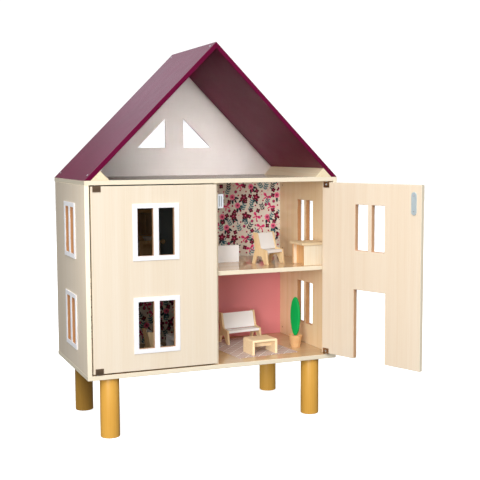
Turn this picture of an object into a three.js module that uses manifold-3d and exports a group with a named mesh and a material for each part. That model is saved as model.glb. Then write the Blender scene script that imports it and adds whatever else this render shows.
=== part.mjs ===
// Wooden dollhouse on four round legs: four rooms behind two hinged doors, an open attic
// under a steep gable roof, and a set of small loose furniture.
// Millimetres, +Z up. The front faces -Y, and "left" and "right" are as seen from the front.

import * as THREE from 'three';
import { mergeVertices } from 'three/addons/utils/BufferGeometryUtils.js';
import Module from 'manifold-3d';

const wasm = await Module();
wasm.setup();

// ---------------------------------------------------------------- driving dimensions

const WIDTH = 600; // carcass, along X
const DEPTH = 306; // carcass, along Y
const CARCASS_HEIGHT = 430; // underside of the base board to the top of the attic floor
const BOARD = 10; // thickness of the structural boards
const THIN_BOARD = 6; // thickness of the back boards
const EDGE = 0.75; // softening of a board's edges
const FINE_EDGE = 0.25; // softening of thin trim and sheet metal
const FIT = 0.25; // play between pieces that are fastened face to face

const LEG_LENGTH = 134;
const LEG_RADIUS = 21.5;
const LEG_INSET_X = 55; // leg centre from the side of the carcass
const LEG_INSET_Y = 30; // leg centre from the front or back of the carcass
const BOLT_RADIUS = 4; // threaded stud between a leg and the base board
const BOLT_IN_LEG = 26;
const BOLT_IN_BOARD = 8;

const BACK_RECESS = 6; // rear edge of base and attic floor, behind the back board
const SHELF_HEIGHT = 200; // clear height of a room
const SHELF_SETBACK = 19; // front edge of a shelf, behind the door fronts
const DIVIDER_SETBACK = 10.5; // front edge of the divider, just behind the doors

const DOOR_SIDE_GAP = 3;
const DOOR_FOOT_GAP = 3.25;
const DOOR_HEAD_GAP = 2.5;
const DOOR_MIDDLE_GAP = 3;
const RIGHT_DOOR_OPEN = 110; // degrees open, as the house is shown
const PIVOT_INSET = 10; // hinge pin from the hinge edge of the leaf
const PIN_RADIUS = 2;
const PIN_HOLE_RADIUS = 2.1;
const PIN_IN_BOARD = 6.5;
const PIN_HOLE_DEPTH = 7;
const CLIP = { sheet: 1, reach: 12, width: 18, past_pin: 6 }; // folded hinge clip
const STRIKE = { x: 21, rise: 377, half_width: 7, half_run: 18, thick: 1.25 };
const CATCH = { width: 14.5, height: 32, depth: 21, above_strike: 2 };

const WINDOW_X = 143.5; // window centre from the middle of the front
const WINDOW_Y = -6; // window centre on a side wall
const WINDOW_RISE = 112.75; // window centre above the underside of the base board
const WINDOW_PITCH = 204; // lower window centre to upper window centre
const PANE_WIDTH = 36;
const PANE_HEIGHT = 104;
const MULLION = 12;
const FRAME_BORDER_X = 11;
const FRAME_BORDER_Z = 10;
const FRAME_THICK = 1.5;
const DOORWAY_WIDTH = 90;
const DOORWAY_TOP = 174; // above the underside of the base board

const ROOF_RISE = WIDTH / 2; // ridge above the attic floor, for a 45 degree pitch
const CLEAT_HEIGHT = 20.5; // triangular strips that hold the feet of the roof
const ATTIC_WINDOW = 73; // legs of each right-angled attic window
const ATTIC_WINDOW_X = 23.5;
const ATTIC_WINDOW_Z = 69.5;

const SEAT_DEPTH = 54; // chair and bench share one side profile
const SEAT_SIDE_THICK = 5;
const CHAIR_WIDTH = 60;
const BENCH_WIDTH = 98;
const TABLE = { width: 66, depth: 52, height: 35.5, board: 6, corner: 4 };
const DESK = { width: 52, depth: 62, body: 48, top: 6, board: 6, recess: 8 };
const POT = { foot: 11.5, rim: 17, height: 31, fill: 28, wall: 2.5 };
const CACTUS = { half_width: 15, half_height: 48, thick: 8 };
const DAYBED = { length: 117, depth: 57, back: 41, seat: 22, board: 7 };
const WASHSTAND = { width: 52, height: 129, depth: 40, board: 6, ledge: 54, ledge_thick: 8, corner: 8 };
const MIRROR = { side: 8, top: 8, height: 56, corner: 6 }; // opening in the washstand's back board
const DINING_TABLE = { width: 70, depth: 86, height: 58, board: 8 };
const RUG = { width: 158, depth: 225, thick: 1 };

// where each loose piece stands: x, y, and degrees turned from facing the front
const PLACES = {
  rug: [67, -113, 4],
  bench: [145, 71, 8],
  coffee_table: [138.5, -73, 3],
  plant: [245, -45, -66],
  chair: [176, -36, 22],
  desk: [231, -120, 0],
  daybed: [8, 25, 0],
  washstand: [-110, 86, 0],
  dining_table: [-53, -85, 0],
};

// levels and planes that follow from them
const FRONT = -DEPTH / 2;
const REAR = DEPTH / 2;
const SIDE = WIDTH / 2;
const INNER_SIDE = SIDE - BOARD;
const BASE_LOW = LEG_LENGTH;
const BASE_TOP = BASE_LOW + BOARD;
const SHELF_TOP = BASE_TOP + SHELF_HEIGHT + BOARD;
const CEILING = BASE_LOW + CARCASS_HEIGHT - BOARD;
const ATTIC_FLOOR = BASE_LOW + CARCASS_HEIGHT;
const BACK_FACE = REAR - BACK_RECESS - THIN_BOARD;
const DOOR_FOOT = BASE_TOP + DOOR_FOOT_GAP;
const DOOR_HEAD = CEILING - DOOR_HEAD_GAP;
const PIVOT_X = INNER_SIDE - DOOR_SIDE_GAP - PIVOT_INSET;
const PIVOT_Y = FRONT + BOARD / 2;

// ---------------------------------------------------------------- finishes

const FINISHES = {
  laminate: [0xf3e2c8, 0.55, 0], // pale wood-effect facing of the carcass and doors
  light_wood: [0xe6c793, 0.6, 0], // bare maple of the furniture
  pine: [0xf0dcb4, 0.65, 0],
  pot_wood: [0xdca06a, 0.6, 0],
  burgundy: [0x7d1f4b, 0.3, 0],
  ochre: [0xd9a24a, 0.45, 0],
  grey_white: [0xc9beb6, 0.35, 0],
  print: [0xd8c9b4, 0.6, 0], // papered side of the back board
  white: [0xf6f4f2, 0.5, 0],
  green: [0x0f9d4e, 0.5, 0],
  rug: [0xc9a49a, 0.95, 0],
  bronze_steel: [0x8a725c, 0.35, 1],
  steel: [0xb9c4c8, 0.3, 1],
  catch_white: [0xe9ebee, 0.35, 0],
};

/** Adds a named piece with a material of its own to a group. */
function add(group, name, geometry, finish) {
  const [color, roughness, metalness] = FINISHES[finish];
  const material = new THREE.MeshStandardMaterial({ color, roughness, metalness });
  const mesh = new THREE.Mesh(geometry, material);
  mesh.name = name;
  group.add(mesh);
  return mesh;
}

// ---------------------------------------------------------------- outlines and boards

/** Rectangle between two opposite corners, in either order. */
function rect(x0, y0, x1, y1) {
  const [left, right] = x0 < x1 ? [x0, x1] : [x1, x0];
  const [low, high] = y0 < y1 ? [y0, y1] : [y1, y0];
  return [[left, low], [right, low], [right, high], [left, high]];
}

function toVectors(points) {
  return points.map(([x, y]) => new THREE.Vector2(x, y));
}

/**
 * Outline carried `thick` along its normal. A positive edge softens the rims inwards, and a
 * negative one flares them outwards, which is the shape of a tool that cuts a softened hole.
 */
function prism(outline, thick, edge) {
  const shape = outline instanceof THREE.Shape ? outline : new THREE.Shape(toVectors(outline));
  const rim = Math.abs(edge);
  const geometry = new THREE.ExtrudeGeometry(shape, {
    depth: thick - 2 * rim,
    bevelEnabled: true,
    bevelThickness: rim,
    bevelSize: edge,
    bevelOffset: -edge,
    bevelSegments: 1,
    curveSegments: 6,
  });
  return geometry.translate(0, 0, rim);
}

/** Board with softened edges, and holes whose edges are softened too. */
function board(outline, holes, thick, edge = EDGE) {
  const plain = prism(outline, thick, edge);
  if (holes.length === 0) {
    return plain;
  }
  const past = 0.25; // how far a cutting tool reaches past each face
  const tools = holes.map((hole) => prism(hole, thick + 2 * past, -edge - past).translate(0, 0, -past));
  return cut(plain, tools);
}

/** Stands a board upright across the house: outline in X and Z, its front face at y. */
function faceFront(mesh, thick, y) {
  mesh.rotation.set(Math.PI / 2, 0, 0);
  mesh.position.y = y + thick;
  return mesh;
}

/** Stands a board upright along the house: outline in Y and Z, its left face at x. */
function faceSide(mesh, x) {
  mesh.rotation.set(Math.PI / 2, 0, Math.PI / 2, 'ZYX');
  mesh.position.x = x;
  return mesh;
}

/** Lays a board flat: outline in X and Y, its underside at z. */
function layFlat(mesh, z) {
  mesh.position.z = z;
  return mesh;
}

/** Body of revolution about Z from a closed half profile of [radius, height] points. */
function turned(profile, segments) {
  return new THREE.LatheGeometry(toVectors(profile), segments).rotateX(Math.PI / 2);
}

/** Upright cylinder between two heights. */
function rod(x, y, low, high, radius, segments = 24) {
  const geometry = new THREE.CylinderGeometry(radius, radius, high - low, segments);
  return geometry.rotateX(Math.PI / 2).translate(x, y, (low + high) / 2);
}

// ---------------------------------------------------------------- joining and cutting

function toSolid(geometry) {
  const bare = geometry.clone();
  bare.deleteAttribute('normal');
  bare.deleteAttribute('uv');
  const merged = mergeVertices(bare);
  const mesh = new wasm.Mesh({
    numProp: 3,
    vertProperties: new Float32Array(merged.attributes.position.array),
    triVerts: new Uint32Array(merged.index.array),
  });
  return new wasm.Manifold(mesh);
}

function toGeometry(solid) {
  const mesh = solid.getMesh();
  const geometry = new THREE.BufferGeometry();
  geometry.setAttribute('position', new THREE.BufferAttribute(mesh.vertProperties, 3));
  geometry.setIndex(new THREE.BufferAttribute(mesh.triVerts, 1));
  geometry.computeVertexNormals();
  return geometry;
}

function cut(geometry, tools) {
  return toGeometry(tools.reduce((solid, tool) => solid.subtract(toSolid(tool)), toSolid(geometry)));
}

function join(geometry, others) {
  return toGeometry(others.reduce((solid, other) => solid.add(toSolid(other)), toSolid(geometry)));
}

// ---------------------------------------------------------------- windows

/** The two tall panes of a window centred at (x, z). */
function panes(x, z) {
  const inner = MULLION / 2;
  const outer = inner + PANE_WIDTH;
  const low = z - PANE_HEIGHT / 2;
  const high = z + PANE_HEIGHT / 2;
  return [rect(x - outer, low, x - inner, high), rect(x + inner, low, x + outer, high)];
}

/** Flat white trim around a window: an outer rectangle with the panes left open. */
function windowFrame(x, z) {
  const half_width = MULLION / 2 + PANE_WIDTH + FRAME_BORDER_X;
  const half_height = PANE_HEIGHT / 2 + FRAME_BORDER_Z;
  const outline = rect(x - half_width, z - half_height, x + half_width, z + half_height);
  return board(outline, panes(x, z), FRAME_THICK, FINE_EDGE);
}

/** Outline open at the bottom, as a wide arch with square corners. */
function portal(x, half_out, foot, top_out, half_in, top_in) {
  return [
    [x - half_out, foot], [x - half_in, foot], [x - half_in, top_in], [x + half_in, top_in],
    [x + half_in, foot], [x + half_out, foot], [x + half_out, top_out], [x - half_out, top_out],
  ];
}

const LOWER_WINDOW = BASE_LOW + WINDOW_RISE;
const UPPER_WINDOW = LOWER_WINDOW + WINDOW_PITCH;

// ---------------------------------------------------------------- carcass

const SIGNS = { left: -1, right: 1 };
const LEG_PLACES = {
  front_left: [-(SIDE - LEG_INSET_X), FRONT + LEG_INSET_Y],
  front_right: [SIDE - LEG_INSET_X, FRONT + LEG_INSET_Y],
  rear_left: [-(SIDE - LEG_INSET_X), REAR - LEG_INSET_Y],
  rear_right: [SIDE - LEG_INSET_X, REAR - LEG_INSET_Y],
};

/** Base board, with blind holes for the leg studs below and the door pins above. */
function baseBoard() {
  const plain = board(rect(-SIDE, FRONT, SIDE, REAR), [], BOARD);
  const stud_holes = Object.values(LEG_PLACES).map(([x, y]) =>
    rod(x, y, -1, BOLT_IN_BOARD + 0.5, BOLT_RADIUS + FIT));
  const pin_holes = [-PIVOT_X, PIVOT_X].map((x) =>
    rod(x, PIVOT_Y, BOARD - PIN_HOLE_DEPTH, BOARD + 1, PIN_HOLE_RADIUS));
  return cut(plain, [...stud_holes, ...pin_holes]);
}

/** Attic floor, with blind holes for the upper door pins in its underside. */
function atticFloor() {
  const plain = board(rect(-SIDE, FRONT, SIDE, REAR), [], BOARD);
  const pin_holes = [-PIVOT_X, PIVOT_X].map((x) => rod(x, PIVOT_Y, -1, PIN_HOLE_DEPTH, PIN_HOLE_RADIUS));
  return cut(plain, pin_holes);
}

function buildCarcass(house) {
  layFlat(add(house, 'bottom_panel', baseBoard(), 'laminate'), BASE_LOW);
  layFlat(add(house, 'top_panel', atticFloor(), 'laminate'), CEILING);

  for (const [hand, sign] of Object.entries(SIGNS)) {
    const wall = rect(FRONT, BASE_TOP, REAR - BACK_RECESS, CEILING);
    const openings = [...panes(WINDOW_Y, LOWER_WINDOW), ...panes(WINDOW_Y, UPPER_WINDOW)];
    const wall_x = sign < 0 ? -SIDE : INNER_SIDE;
    faceSide(add(house, `${hand}_side_panel`, board(wall, openings, BOARD), 'laminate'), wall_x);

    const frame_x = sign < 0 ? -SIDE - FIT - FRAME_THICK : SIDE + FIT;
    for (const [storey, z] of [['lower', LOWER_WINDOW], ['upper', UPPER_WINDOW]]) {
      const name = `${hand}_side_${storey}_window_frame`;
      faceSide(add(house, name, windowFrame(WINDOW_Y, z), 'white'), frame_x);
    }

    const shelf = rect(sign * BOARD / 2, FRONT + SHELF_SETBACK, sign * INNER_SIDE, BACK_FACE);
    layFlat(add(house, `${hand}_shelf`, board(shelf, [], BOARD), 'laminate'), SHELF_TOP - BOARD);
  }

  const divider = rect(FRONT + DIVIDER_SETBACK, BASE_TOP, BACK_FACE, CEILING);
  faceSide(add(house, 'divider_panel', board(divider, [], BOARD), 'laminate'), -BOARD / 2);

  const back = rect(-INNER_SIDE, BASE_TOP, INNER_SIDE, CEILING);
  faceFront(add(house, 'back_panel', board(back, [], THIN_BOARD, FINE_EDGE), 'print'), THIN_BOARD, BACK_FACE);
}

/** Turned leg with a rounded foot and a blind hole in its top for the threaded stud. */
function legShape() {
  const hole = BOLT_RADIUS + FIT;
  return turned([
    [0, 0], [LEG_RADIUS - 3, 0], [LEG_RADIUS - 0.9, 0.9], [LEG_RADIUS, 3], [LEG_RADIUS, LEG_LENGTH],
    [hole, LEG_LENGTH], [hole, LEG_LENGTH - BOLT_IN_LEG - 1], [0, LEG_LENGTH - BOLT_IN_LEG - 1],
  ], 40);
}

function buildLegs(house) {
  for (const [place, [x, y]] of Object.entries(LEG_PLACES)) {
    add(house, `${place}_leg`, legShape(), 'ochre').position.set(x, y, 0);
    const stud = rod(0, 0, LEG_LENGTH - BOLT_IN_LEG, LEG_LENGTH + BOLT_IN_BOARD, BOLT_RADIUS);
    add(house, `${place}_leg_bolt`, stud, 'steel').position.set(x, y, 0);
  }
}

// ---------------------------------------------------------------- attic and roof

function buildRoof(house) {
  const slope = BOARD * Math.SQRT2; // thickness of a roof board measured along the floor
  const butt = BOARD / Math.SQRT2; // how far the left board's end reaches past the ridge
  const gap = FIT * Math.SQRT2;
  const z = ATTIC_FLOOR;
  const outlines = {
    left: [
      [-SIDE, z], [-SIDE + slope, z], [butt, z + ROOF_RISE - butt], [0, z + ROOF_RISE],
    ],
    right: [
      [SIDE, z], [butt + gap / 2, z + ROOF_RISE - butt - gap / 2],
      [gap / 2, z + ROOF_RISE - slope - gap / 2], [SIDE - slope, z],
    ],
  };
  for (const [hand, sign] of Object.entries(SIGNS)) {
    const panel = add(house, `${hand}_roof_panel`, board(outlines[hand], [], DEPTH), 'burgundy');
    faceFront(panel, DEPTH, FRONT);

    const foot = SIDE - slope - gap;
    const cleat = [
      [sign * foot, z],
      [sign * (foot - CLEAT_HEIGHT), z + CLEAT_HEIGHT],
      [sign * (foot - 2 * CLEAT_HEIGHT), z],
    ];
    const length = BACK_FACE - FRONT;
    faceFront(add(house, `${hand}_roof_cleat`, board(cleat, [], length), 'pine'), length, FRONT);
  }
}

/** Gable board behind the attic, with two right-angled windows back to back. */
function buildGable(house) {
  const reach = ROOF_RISE - BOARD * Math.SQRT2 - 2 * FIT;
  const outline = [[-reach, ATTIC_FLOOR], [reach, ATTIC_FLOOR], [0, ATTIC_FLOOR + reach]];
  const low = ATTIC_FLOOR + ATTIC_WINDOW_Z;
  const windows = [-1, 1].map((sign) => [
    [sign * ATTIC_WINDOW_X, low],
    [sign * (ATTIC_WINDOW_X + ATTIC_WINDOW), low],
    [sign * ATTIC_WINDOW_X, low + ATTIC_WINDOW],
  ]);
  const gable = add(house, 'attic_back_panel', board(outline, windows, THIN_BOARD), 'grey_white');
  faceFront(gable, THIN_BOARD, BACK_FACE);
}

// ---------------------------------------------------------------- doors

/** Sheet-metal clip folded over the end of a door leaf, as a U in Y and Z. */
function clipOutline(end, direction) {
  const inside = BOARD / 2 + FIT;
  const outside = inside + CLIP.sheet;
  const lip = end - direction * CLIP.reach;
  const web = end + direction * FIT;
  const crown = web + direction * CLIP.sheet;
  return [
    [-outside, lip], [-inside, lip], [-inside, web], [inside, web],
    [inside, lip], [outside, lip], [outside, crown], [-outside, crown],
  ];
}

/** One leaf with its hardware, drawn closed about its own hinge pin, then turned open. */
function buildDoor(house, hand, open_degrees) {
  const sign = SIGNS[hand];
  const leaf = new THREE.Group();
  leaf.position.set(sign * PIVOT_X, PIVOT_Y, 0);
  leaf.rotation.z = sign * THREE.MathUtils.degToRad(open_degrees);
  house.add(leaf);

  const outer_face = -BOARD / 2;
  const inner_face = BOARD / 2;
  const hinge_edge = sign * PIVOT_INSET;
  const free_edge = sign * (DOOR_MIDDLE_GAP / 2 - PIVOT_X);
  const window_x = sign * (WINDOW_X - PIVOT_X);
  const trim_y = outer_face - FIT - FRAME_THICK;

  let outline = rect(hinge_edge, DOOR_FOOT, free_edge, DOOR_HEAD);
  const openings = panes(window_x, UPPER_WINDOW);
  if (hand === 'right') {
    const half = DOORWAY_WIDTH / 2;
    const top = BASE_LOW + DOORWAY_TOP;
    const [left, right] = [Math.min(hinge_edge, free_edge), Math.max(hinge_edge, free_edge)];
    outline = [
      [left, DOOR_FOOT], [window_x - half, DOOR_FOOT], [window_x - half, top], [window_x + half, top],
      [window_x + half, DOOR_FOOT], [right, DOOR_FOOT], [right, DOOR_HEAD], [left, DOOR_HEAD],
    ];
    const trim = portal(window_x, half + FRAME_BORDER_X, DOOR_FOOT, top + FRAME_BORDER_Z, half, top);
    const surround = add(leaf, 'doorway_frame', board(trim, [], FRAME_THICK, FINE_EDGE), 'white');
    faceFront(surround, FRAME_THICK, trim_y);
  } else {
    openings.push(...panes(window_x, LOWER_WINDOW));
    const lower = add(leaf, `${hand}_door_lower_window_frame`, windowFrame(window_x, LOWER_WINDOW), 'white');
    faceFront(lower, FRAME_THICK, trim_y);
  }
  faceFront(add(leaf, `${hand}_door`, board(outline, openings, BOARD), 'laminate'), BOARD, outer_face);
  const upper = add(leaf, `${hand}_door_upper_window_frame`, windowFrame(window_x, UPPER_WINDOW), 'white');
  faceFront(upper, FRAME_THICK, trim_y);

  const clip_x = sign > 0 ? CLIP.past_pin - CLIP.width : -CLIP.past_pin;
  const web = CLIP.sheet + 2 * FIT; // end of the leaf to the foot of the pin
  for (const [level, end, direction] of [['upper', DOOR_HEAD, 1], ['lower', DOOR_FOOT, -1]]) {
    const clip = board(clipOutline(end, direction), [], CLIP.width, FINE_EDGE);
    faceSide(add(leaf, `${hand}_door_${level}_hinge_clip`, clip, 'bronze_steel'), clip_x);
    const pin_foot = end + direction * web;
    const pin_end = direction > 0 ? CEILING + PIN_IN_BOARD : BASE_TOP - PIN_IN_BOARD;
    const pin = rod(0, 0, Math.min(pin_foot, pin_end), Math.max(pin_foot, pin_end), PIN_RADIUS);
    add(leaf, `${hand}_door_${level}_hinge_pin`, pin, 'steel');
  }

  const strike = strikePlate(sign * (STRIKE.x - PIVOT_X), BASE_LOW + STRIKE.rise);
  faceFront(add(leaf, `${hand}_door_strike_plate`, strike, 'steel'), STRIKE.thick, inner_face + FIT);
}

/** Upright strip with round ends, centred at (x, z). */
function strikePlate(x, z) {
  const { half_width, half_run, thick } = STRIKE;
  const shape = new THREE.Shape();
  shape.absarc(x, z + half_run, half_width, 0, Math.PI, false);
  shape.absarc(x, z - half_run, half_width, Math.PI, 2 * Math.PI, false);
  shape.closePath();
  return board(shape, [], thick, FINE_EDGE);
}

/** Magnetic catches on both faces of the divider, behind the free edges of the doors. */
function buildCatches(house) {
  const { width, height, depth, above_strike } = CATCH;
  const front = FRONT + BOARD + STRIKE.thick + 2 * FIT;
  const low = BASE_LOW + STRIKE.rise + above_strike - height / 2;
  for (const [hand, sign] of Object.entries(SIGNS)) {
    const x = sign * BOARD / 2;
    const outline = rect(x, low, x + sign * width, low + height);
    const body = add(house, `${hand}_magnetic_catch`, board(outline, [], depth), 'catch_white');
    faceFront(body, depth, front);
  }
}

// ---------------------------------------------------------------- furniture

/** Group for a loose piece, standing in its place on a floor at height z. */
function stand(house, place, z) {
  const [x, y, degrees] = PLACES[place];
  const group = new THREE.Group();
  group.position.set(x, y, z);
  group.rotation.z = THREE.MathUtils.degToRad(degrees);
  house.add(group);
  return group;
}

/** Low seat facing -Y: two A-shaped side frames with a seat and a leaning back between them. */
function buildSeat(group, name, width) {
  const rear = SEAT_DEPTH / 2; // depth below is measured forwards from the rear foot
  const at = (points) => points.map(([forward, z]) => [rear - forward, z]);
  const side = at([
    [0, 0], [10, 0], [17, 19], [32, 19], [42, 0], [54, 0],
    [49.5, 34], [28, 38], [18, 75], [4, 75], [11.5, 37],
  ]);
  const back = at([[27.5, 35.5], [17.3, 74], [12.4, 72.7], [22.6, 34.2]]);
  const seat = at([[24, 27.5], [50, 27.5], [50, 33.5], [24, 33.5]]);
  const half = width / 2;
  const span = width - 2 * (SEAT_SIDE_THICK + FIT);
  const side_board = () => board(side, [], SEAT_SIDE_THICK);
  faceSide(add(group, `${name}_left_side`, side_board(), 'light_wood'), -half);
  faceSide(add(group, `${name}_right_side`, side_board(), 'light_wood'), half - SEAT_SIDE_THICK);
  faceSide(add(group, `${name}_back`, board(back, [], span), 'white'), -span / 2);
  faceSide(add(group, `${name}_seat`, board(seat, [], span), 'white'), -span / 2);
}

/** Low table: one bent top with two legs, and a rail between the legs. */
function buildCoffeeTable(group) {
  const { width, depth, height, board: wall, corner } = TABLE;
  const half = width / 2;
  const inner = half - wall;
  const shape = new THREE.Shape();
  shape.moveTo(-half, 0);
  shape.lineTo(-inner, 0);
  shape.lineTo(-inner, height - wall);
  shape.lineTo(inner, height - wall);
  shape.lineTo(inner, 0);
  shape.lineTo(half, 0);
  shape.absarc(half - corner, height - corner, corner, 0, Math.PI / 2, false);
  shape.absarc(corner - half, height - corner, corner, Math.PI / 2, Math.PI, false);
  shape.closePath();
  const bent = board(shape, [], depth).rotateX(Math.PI / 2).translate(0, depth / 2, 0);
  const rail = new THREE.BoxGeometry(2 * inner + 2, 6, 8.5).translate(0, 0, 19.25);
  add(group, 'coffee_table', join(bent, [rail]), 'light_wood');
}

/** Small desk: two ends with a panel set back between them, under an overhanging top. */
function buildDesk(group) {
  const { width, depth, body, top, board: wall, recess } = DESK;
  const ends_and_panel = [
    [0, 0], [width, 0], [width, wall], [recess + wall, wall], [recess + wall, depth - wall],
    [width, depth - wall], [width, depth], [0, depth], [0, depth - wall], [recess, depth - wall],
    [recess, wall], [0, wall],
  ];
  add(group, 'desk_body', board(ends_and_panel, [], body), 'light_wood');
  const cover = rect(-6, -3, width + 2, depth + 4);
  layFlat(add(group, 'desk_top', board(cover, [], top), 'light_wood'), body);
}

/** Potted cactus: a tapered turned pot and a flat oval leaf standing in it. */
function buildPlant(group) {
  const { foot, rim, height, fill, wall } = POT;
  const inner = rim - wall;
  const profile = [[0, 0], [foot, 0], [rim, height], [inner, height], [inner, fill], [0, fill]];
  add(group, 'plant_pot', turned(profile, 32), 'pot_wood');
  const { half_width, half_height, thick } = CACTUS;
  const steps = 40;
  const oval = Array.from({ length: steps }, (_, i) => {
    const angle = (2 * Math.PI * i) / steps;
    return [half_width * Math.cos(angle), fill + FIT + half_height * (1 + Math.sin(angle))];
  });
  const leaf = board(oval, [], thick, 1.5);
  faceFront(add(group, 'cactus', leaf, 'green'), thick, -thick / 2);
}

/** Day bed: a tall plain back along a low seat. */
function buildDaybed(group) {
  const { length, depth, back, seat, board: wall } = DAYBED;
  const outline = [[0, 0], [depth, 0], [depth, seat], [wall, seat], [wall, back], [0, back]];
  faceSide(add(group, 'daybed', board(outline, [], length), 'white'), 0);
}

/** Rectangle centred on x, from low to high, with rounded upper corners, and lower ones too if asked. */
function roundedRect(x, half_width, low, high, corner, all_corners) {
  const shape = new THREE.Shape();
  if (all_corners) {
    shape.absarc(x - half_width + corner, low + corner, corner, Math.PI, 1.5 * Math.PI, false);
    shape.absarc(x + half_width - corner, low + corner, corner, 1.5 * Math.PI, 2 * Math.PI, false);
  } else {
    shape.moveTo(x - half_width, low);
    shape.lineTo(x + half_width, low);
  }
  shape.absarc(x + half_width - corner, high - corner, corner, 0, Math.PI / 2, false);
  shape.absarc(x - half_width + corner, high - corner, corner, Math.PI / 2, Math.PI, false);
  shape.closePath();
  return shape;
}

/** Washstand: a tall back board with an opening for a mirror, a ledge, and two ends under it. */
function buildWashstand(group) {
  const { width, height, depth, board: wall, ledge, ledge_thick, corner } = WASHSTAND;
  const middle = width / 2;
  const back = roundedRect(middle, middle, 0, height, corner, false);
  const mirror_high = height - MIRROR.top;
  const mirror_low = mirror_high - MIRROR.height;
  const opening = roundedRect(middle, middle - MIRROR.side, mirror_low, mirror_high, MIRROR.corner, true);
  const back_board = board(back, [opening], wall).rotateX(Math.PI / 2).translate(0, depth, 0);
  const bite = 1; // how far the ledge and the ends are let into the back board
  const reach = depth - wall + bite;
  const ledge_board = board(rect(0, 0, width, reach), [], ledge_thick).translate(0, 0, ledge - ledge_thick);
  const ends = [0, width - wall].map((x) => {
    const end = board(rect(x, 0, x + wall, ledge - ledge_thick + bite), [], reach);
    return end.rotateX(Math.PI / 2).translate(0, reach, 0);
  });
  add(group, 'washstand', join(back_board, [ledge_board, ...ends]), 'light_wood');
}

/** Dining table: a top on two ends, open along its sides. */
function buildDiningTable(group) {
  const { width, depth, height, board: wall } = DINING_TABLE;
  const half = depth / 2;
  const outline = [
    [-half, 0], [wall - half, 0], [wall - half, height - wall], [half - wall, height - wall],
    [half - wall, 0], [half, 0], [half, height], [-half, height],
  ];
  faceSide(add(group, 'dining_table', board(outline, [], width), 'white'), -width / 2);
}

function buildFurniture(house) {
  const rug = board(rect(0, 0, RUG.width, RUG.depth), [], RUG.thick, FINE_EDGE);
  add(stand(house, 'rug', BASE_TOP), 'rug', rug, 'rug');
  const rug_top = BASE_TOP + RUG.thick;
  buildSeat(stand(house, 'bench', rug_top), 'bench', BENCH_WIDTH);
  buildCoffeeTable(stand(house, 'coffee_table', rug_top));
  buildPlant(stand(house, 'plant', BASE_TOP));
  buildDiningTable(stand(house, 'dining_table', BASE_TOP));

  buildSeat(stand(house, 'chair', SHELF_TOP), 'chair', CHAIR_WIDTH);
  buildDesk(stand(house, 'desk', SHELF_TOP));
  buildDaybed(stand(house, 'daybed', SHELF_TOP));
  buildWashstand(stand(house, 'washstand', SHELF_TOP));
}

// ---------------------------------------------------------------- whole house

const house = new THREE.Group();
buildCarcass(house);
buildLegs(house);
buildRoof(house);
buildGable(house);
buildDoor(house, 'left', 0);
buildDoor(house, 'right', RIGHT_DOOR_OPEN);
buildCatches(house);
buildFurniture(house);

// The origin goes to the middle of the footprint, on the surface that the house stands on.
const extent = new THREE.Box3().setFromObject(house, true);
const middle = extent.getCenter(new THREE.Vector3());
house.position.set(-middle.x, -middle.y, -extent.min.z);

const dollhouse = new THREE.Group();
dollhouse.add(house);

export default dollhouse;
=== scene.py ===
# %% [markdown]
# # A wooden dollhouse, finished in Blender
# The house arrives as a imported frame: sixty plain nodes, each already in its place and riding on
# its own body, so that the doors swing and the toys lift. This lesson gives every node a finish,
# replaces the few whose shape was kept plain, and adds the small things that a frame leaves out,
# such as printed flowers, screws and a woven rug. Lengths are metres throughout.

# %% Load the frame
import math
import bpy
import numpy as np
from mathutils import Matrix, Vector


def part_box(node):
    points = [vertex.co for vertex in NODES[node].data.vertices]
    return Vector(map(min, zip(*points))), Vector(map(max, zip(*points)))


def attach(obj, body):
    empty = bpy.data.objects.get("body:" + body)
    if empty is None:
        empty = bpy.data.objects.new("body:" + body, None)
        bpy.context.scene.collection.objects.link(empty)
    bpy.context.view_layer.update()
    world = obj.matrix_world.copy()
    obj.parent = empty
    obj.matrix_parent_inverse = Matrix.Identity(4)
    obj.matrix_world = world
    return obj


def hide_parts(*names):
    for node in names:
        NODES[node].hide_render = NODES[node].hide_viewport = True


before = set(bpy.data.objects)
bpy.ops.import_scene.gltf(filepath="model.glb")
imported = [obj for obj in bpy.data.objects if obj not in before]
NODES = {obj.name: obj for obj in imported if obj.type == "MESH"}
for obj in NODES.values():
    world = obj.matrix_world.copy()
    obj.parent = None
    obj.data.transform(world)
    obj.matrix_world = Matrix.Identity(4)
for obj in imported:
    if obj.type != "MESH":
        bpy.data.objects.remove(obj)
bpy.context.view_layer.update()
MM = 0.001


def corners(name):
    """Lowest and highest corner of a node at rest, as two arrays."""
    low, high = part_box(name)
    return np.array(low), np.array(high)


base_low, base_high = corners("bottom_panel")
house_middle = (base_low + base_high) / 2
FLOOR_BELOW = corners("bottom_panel")[1][2]
FLOOR_ABOVE = corners("left_shelf")[1][2]
CEILING = corners("top_panel")[0][2]
BACK_FACE = corners("back_panel")[0][1]
print("carcass", np.round(base_high - base_low, 3), "middle", np.round(house_middle, 4))

# %% [markdown]
# ## The camera
# The house is seen from its left front, a little above the attic floor, through a fairly long
# lens. A camera turned by yaw, pitch and roll is easiest to build as three unit vectors: where it
# looks, what is on its right, and what is up. They become the columns of its matrix. Its place is
# given from the middle of the base board, so the house stays framed if the frame is packed again.

# %% Camera
YAW, PITCH, ROLL = 0.39209, 0.09304, -0.004205
EYE_OFFSET = (-0.76652, -2.13733)
EYE_HEIGHT = 0.62543
LENS = 71.69

forward = np.array([
    math.sin(YAW) * math.cos(PITCH), math.cos(YAW) * math.cos(PITCH), -math.sin(PITCH),
])
level_right = np.array([math.cos(YAW), -math.sin(YAW), 0.0])
level_up = np.cross(level_right, forward)
right = math.cos(ROLL) * level_right + math.sin(ROLL) * level_up
up = -math.sin(ROLL) * level_right + math.cos(ROLL) * level_up

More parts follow.
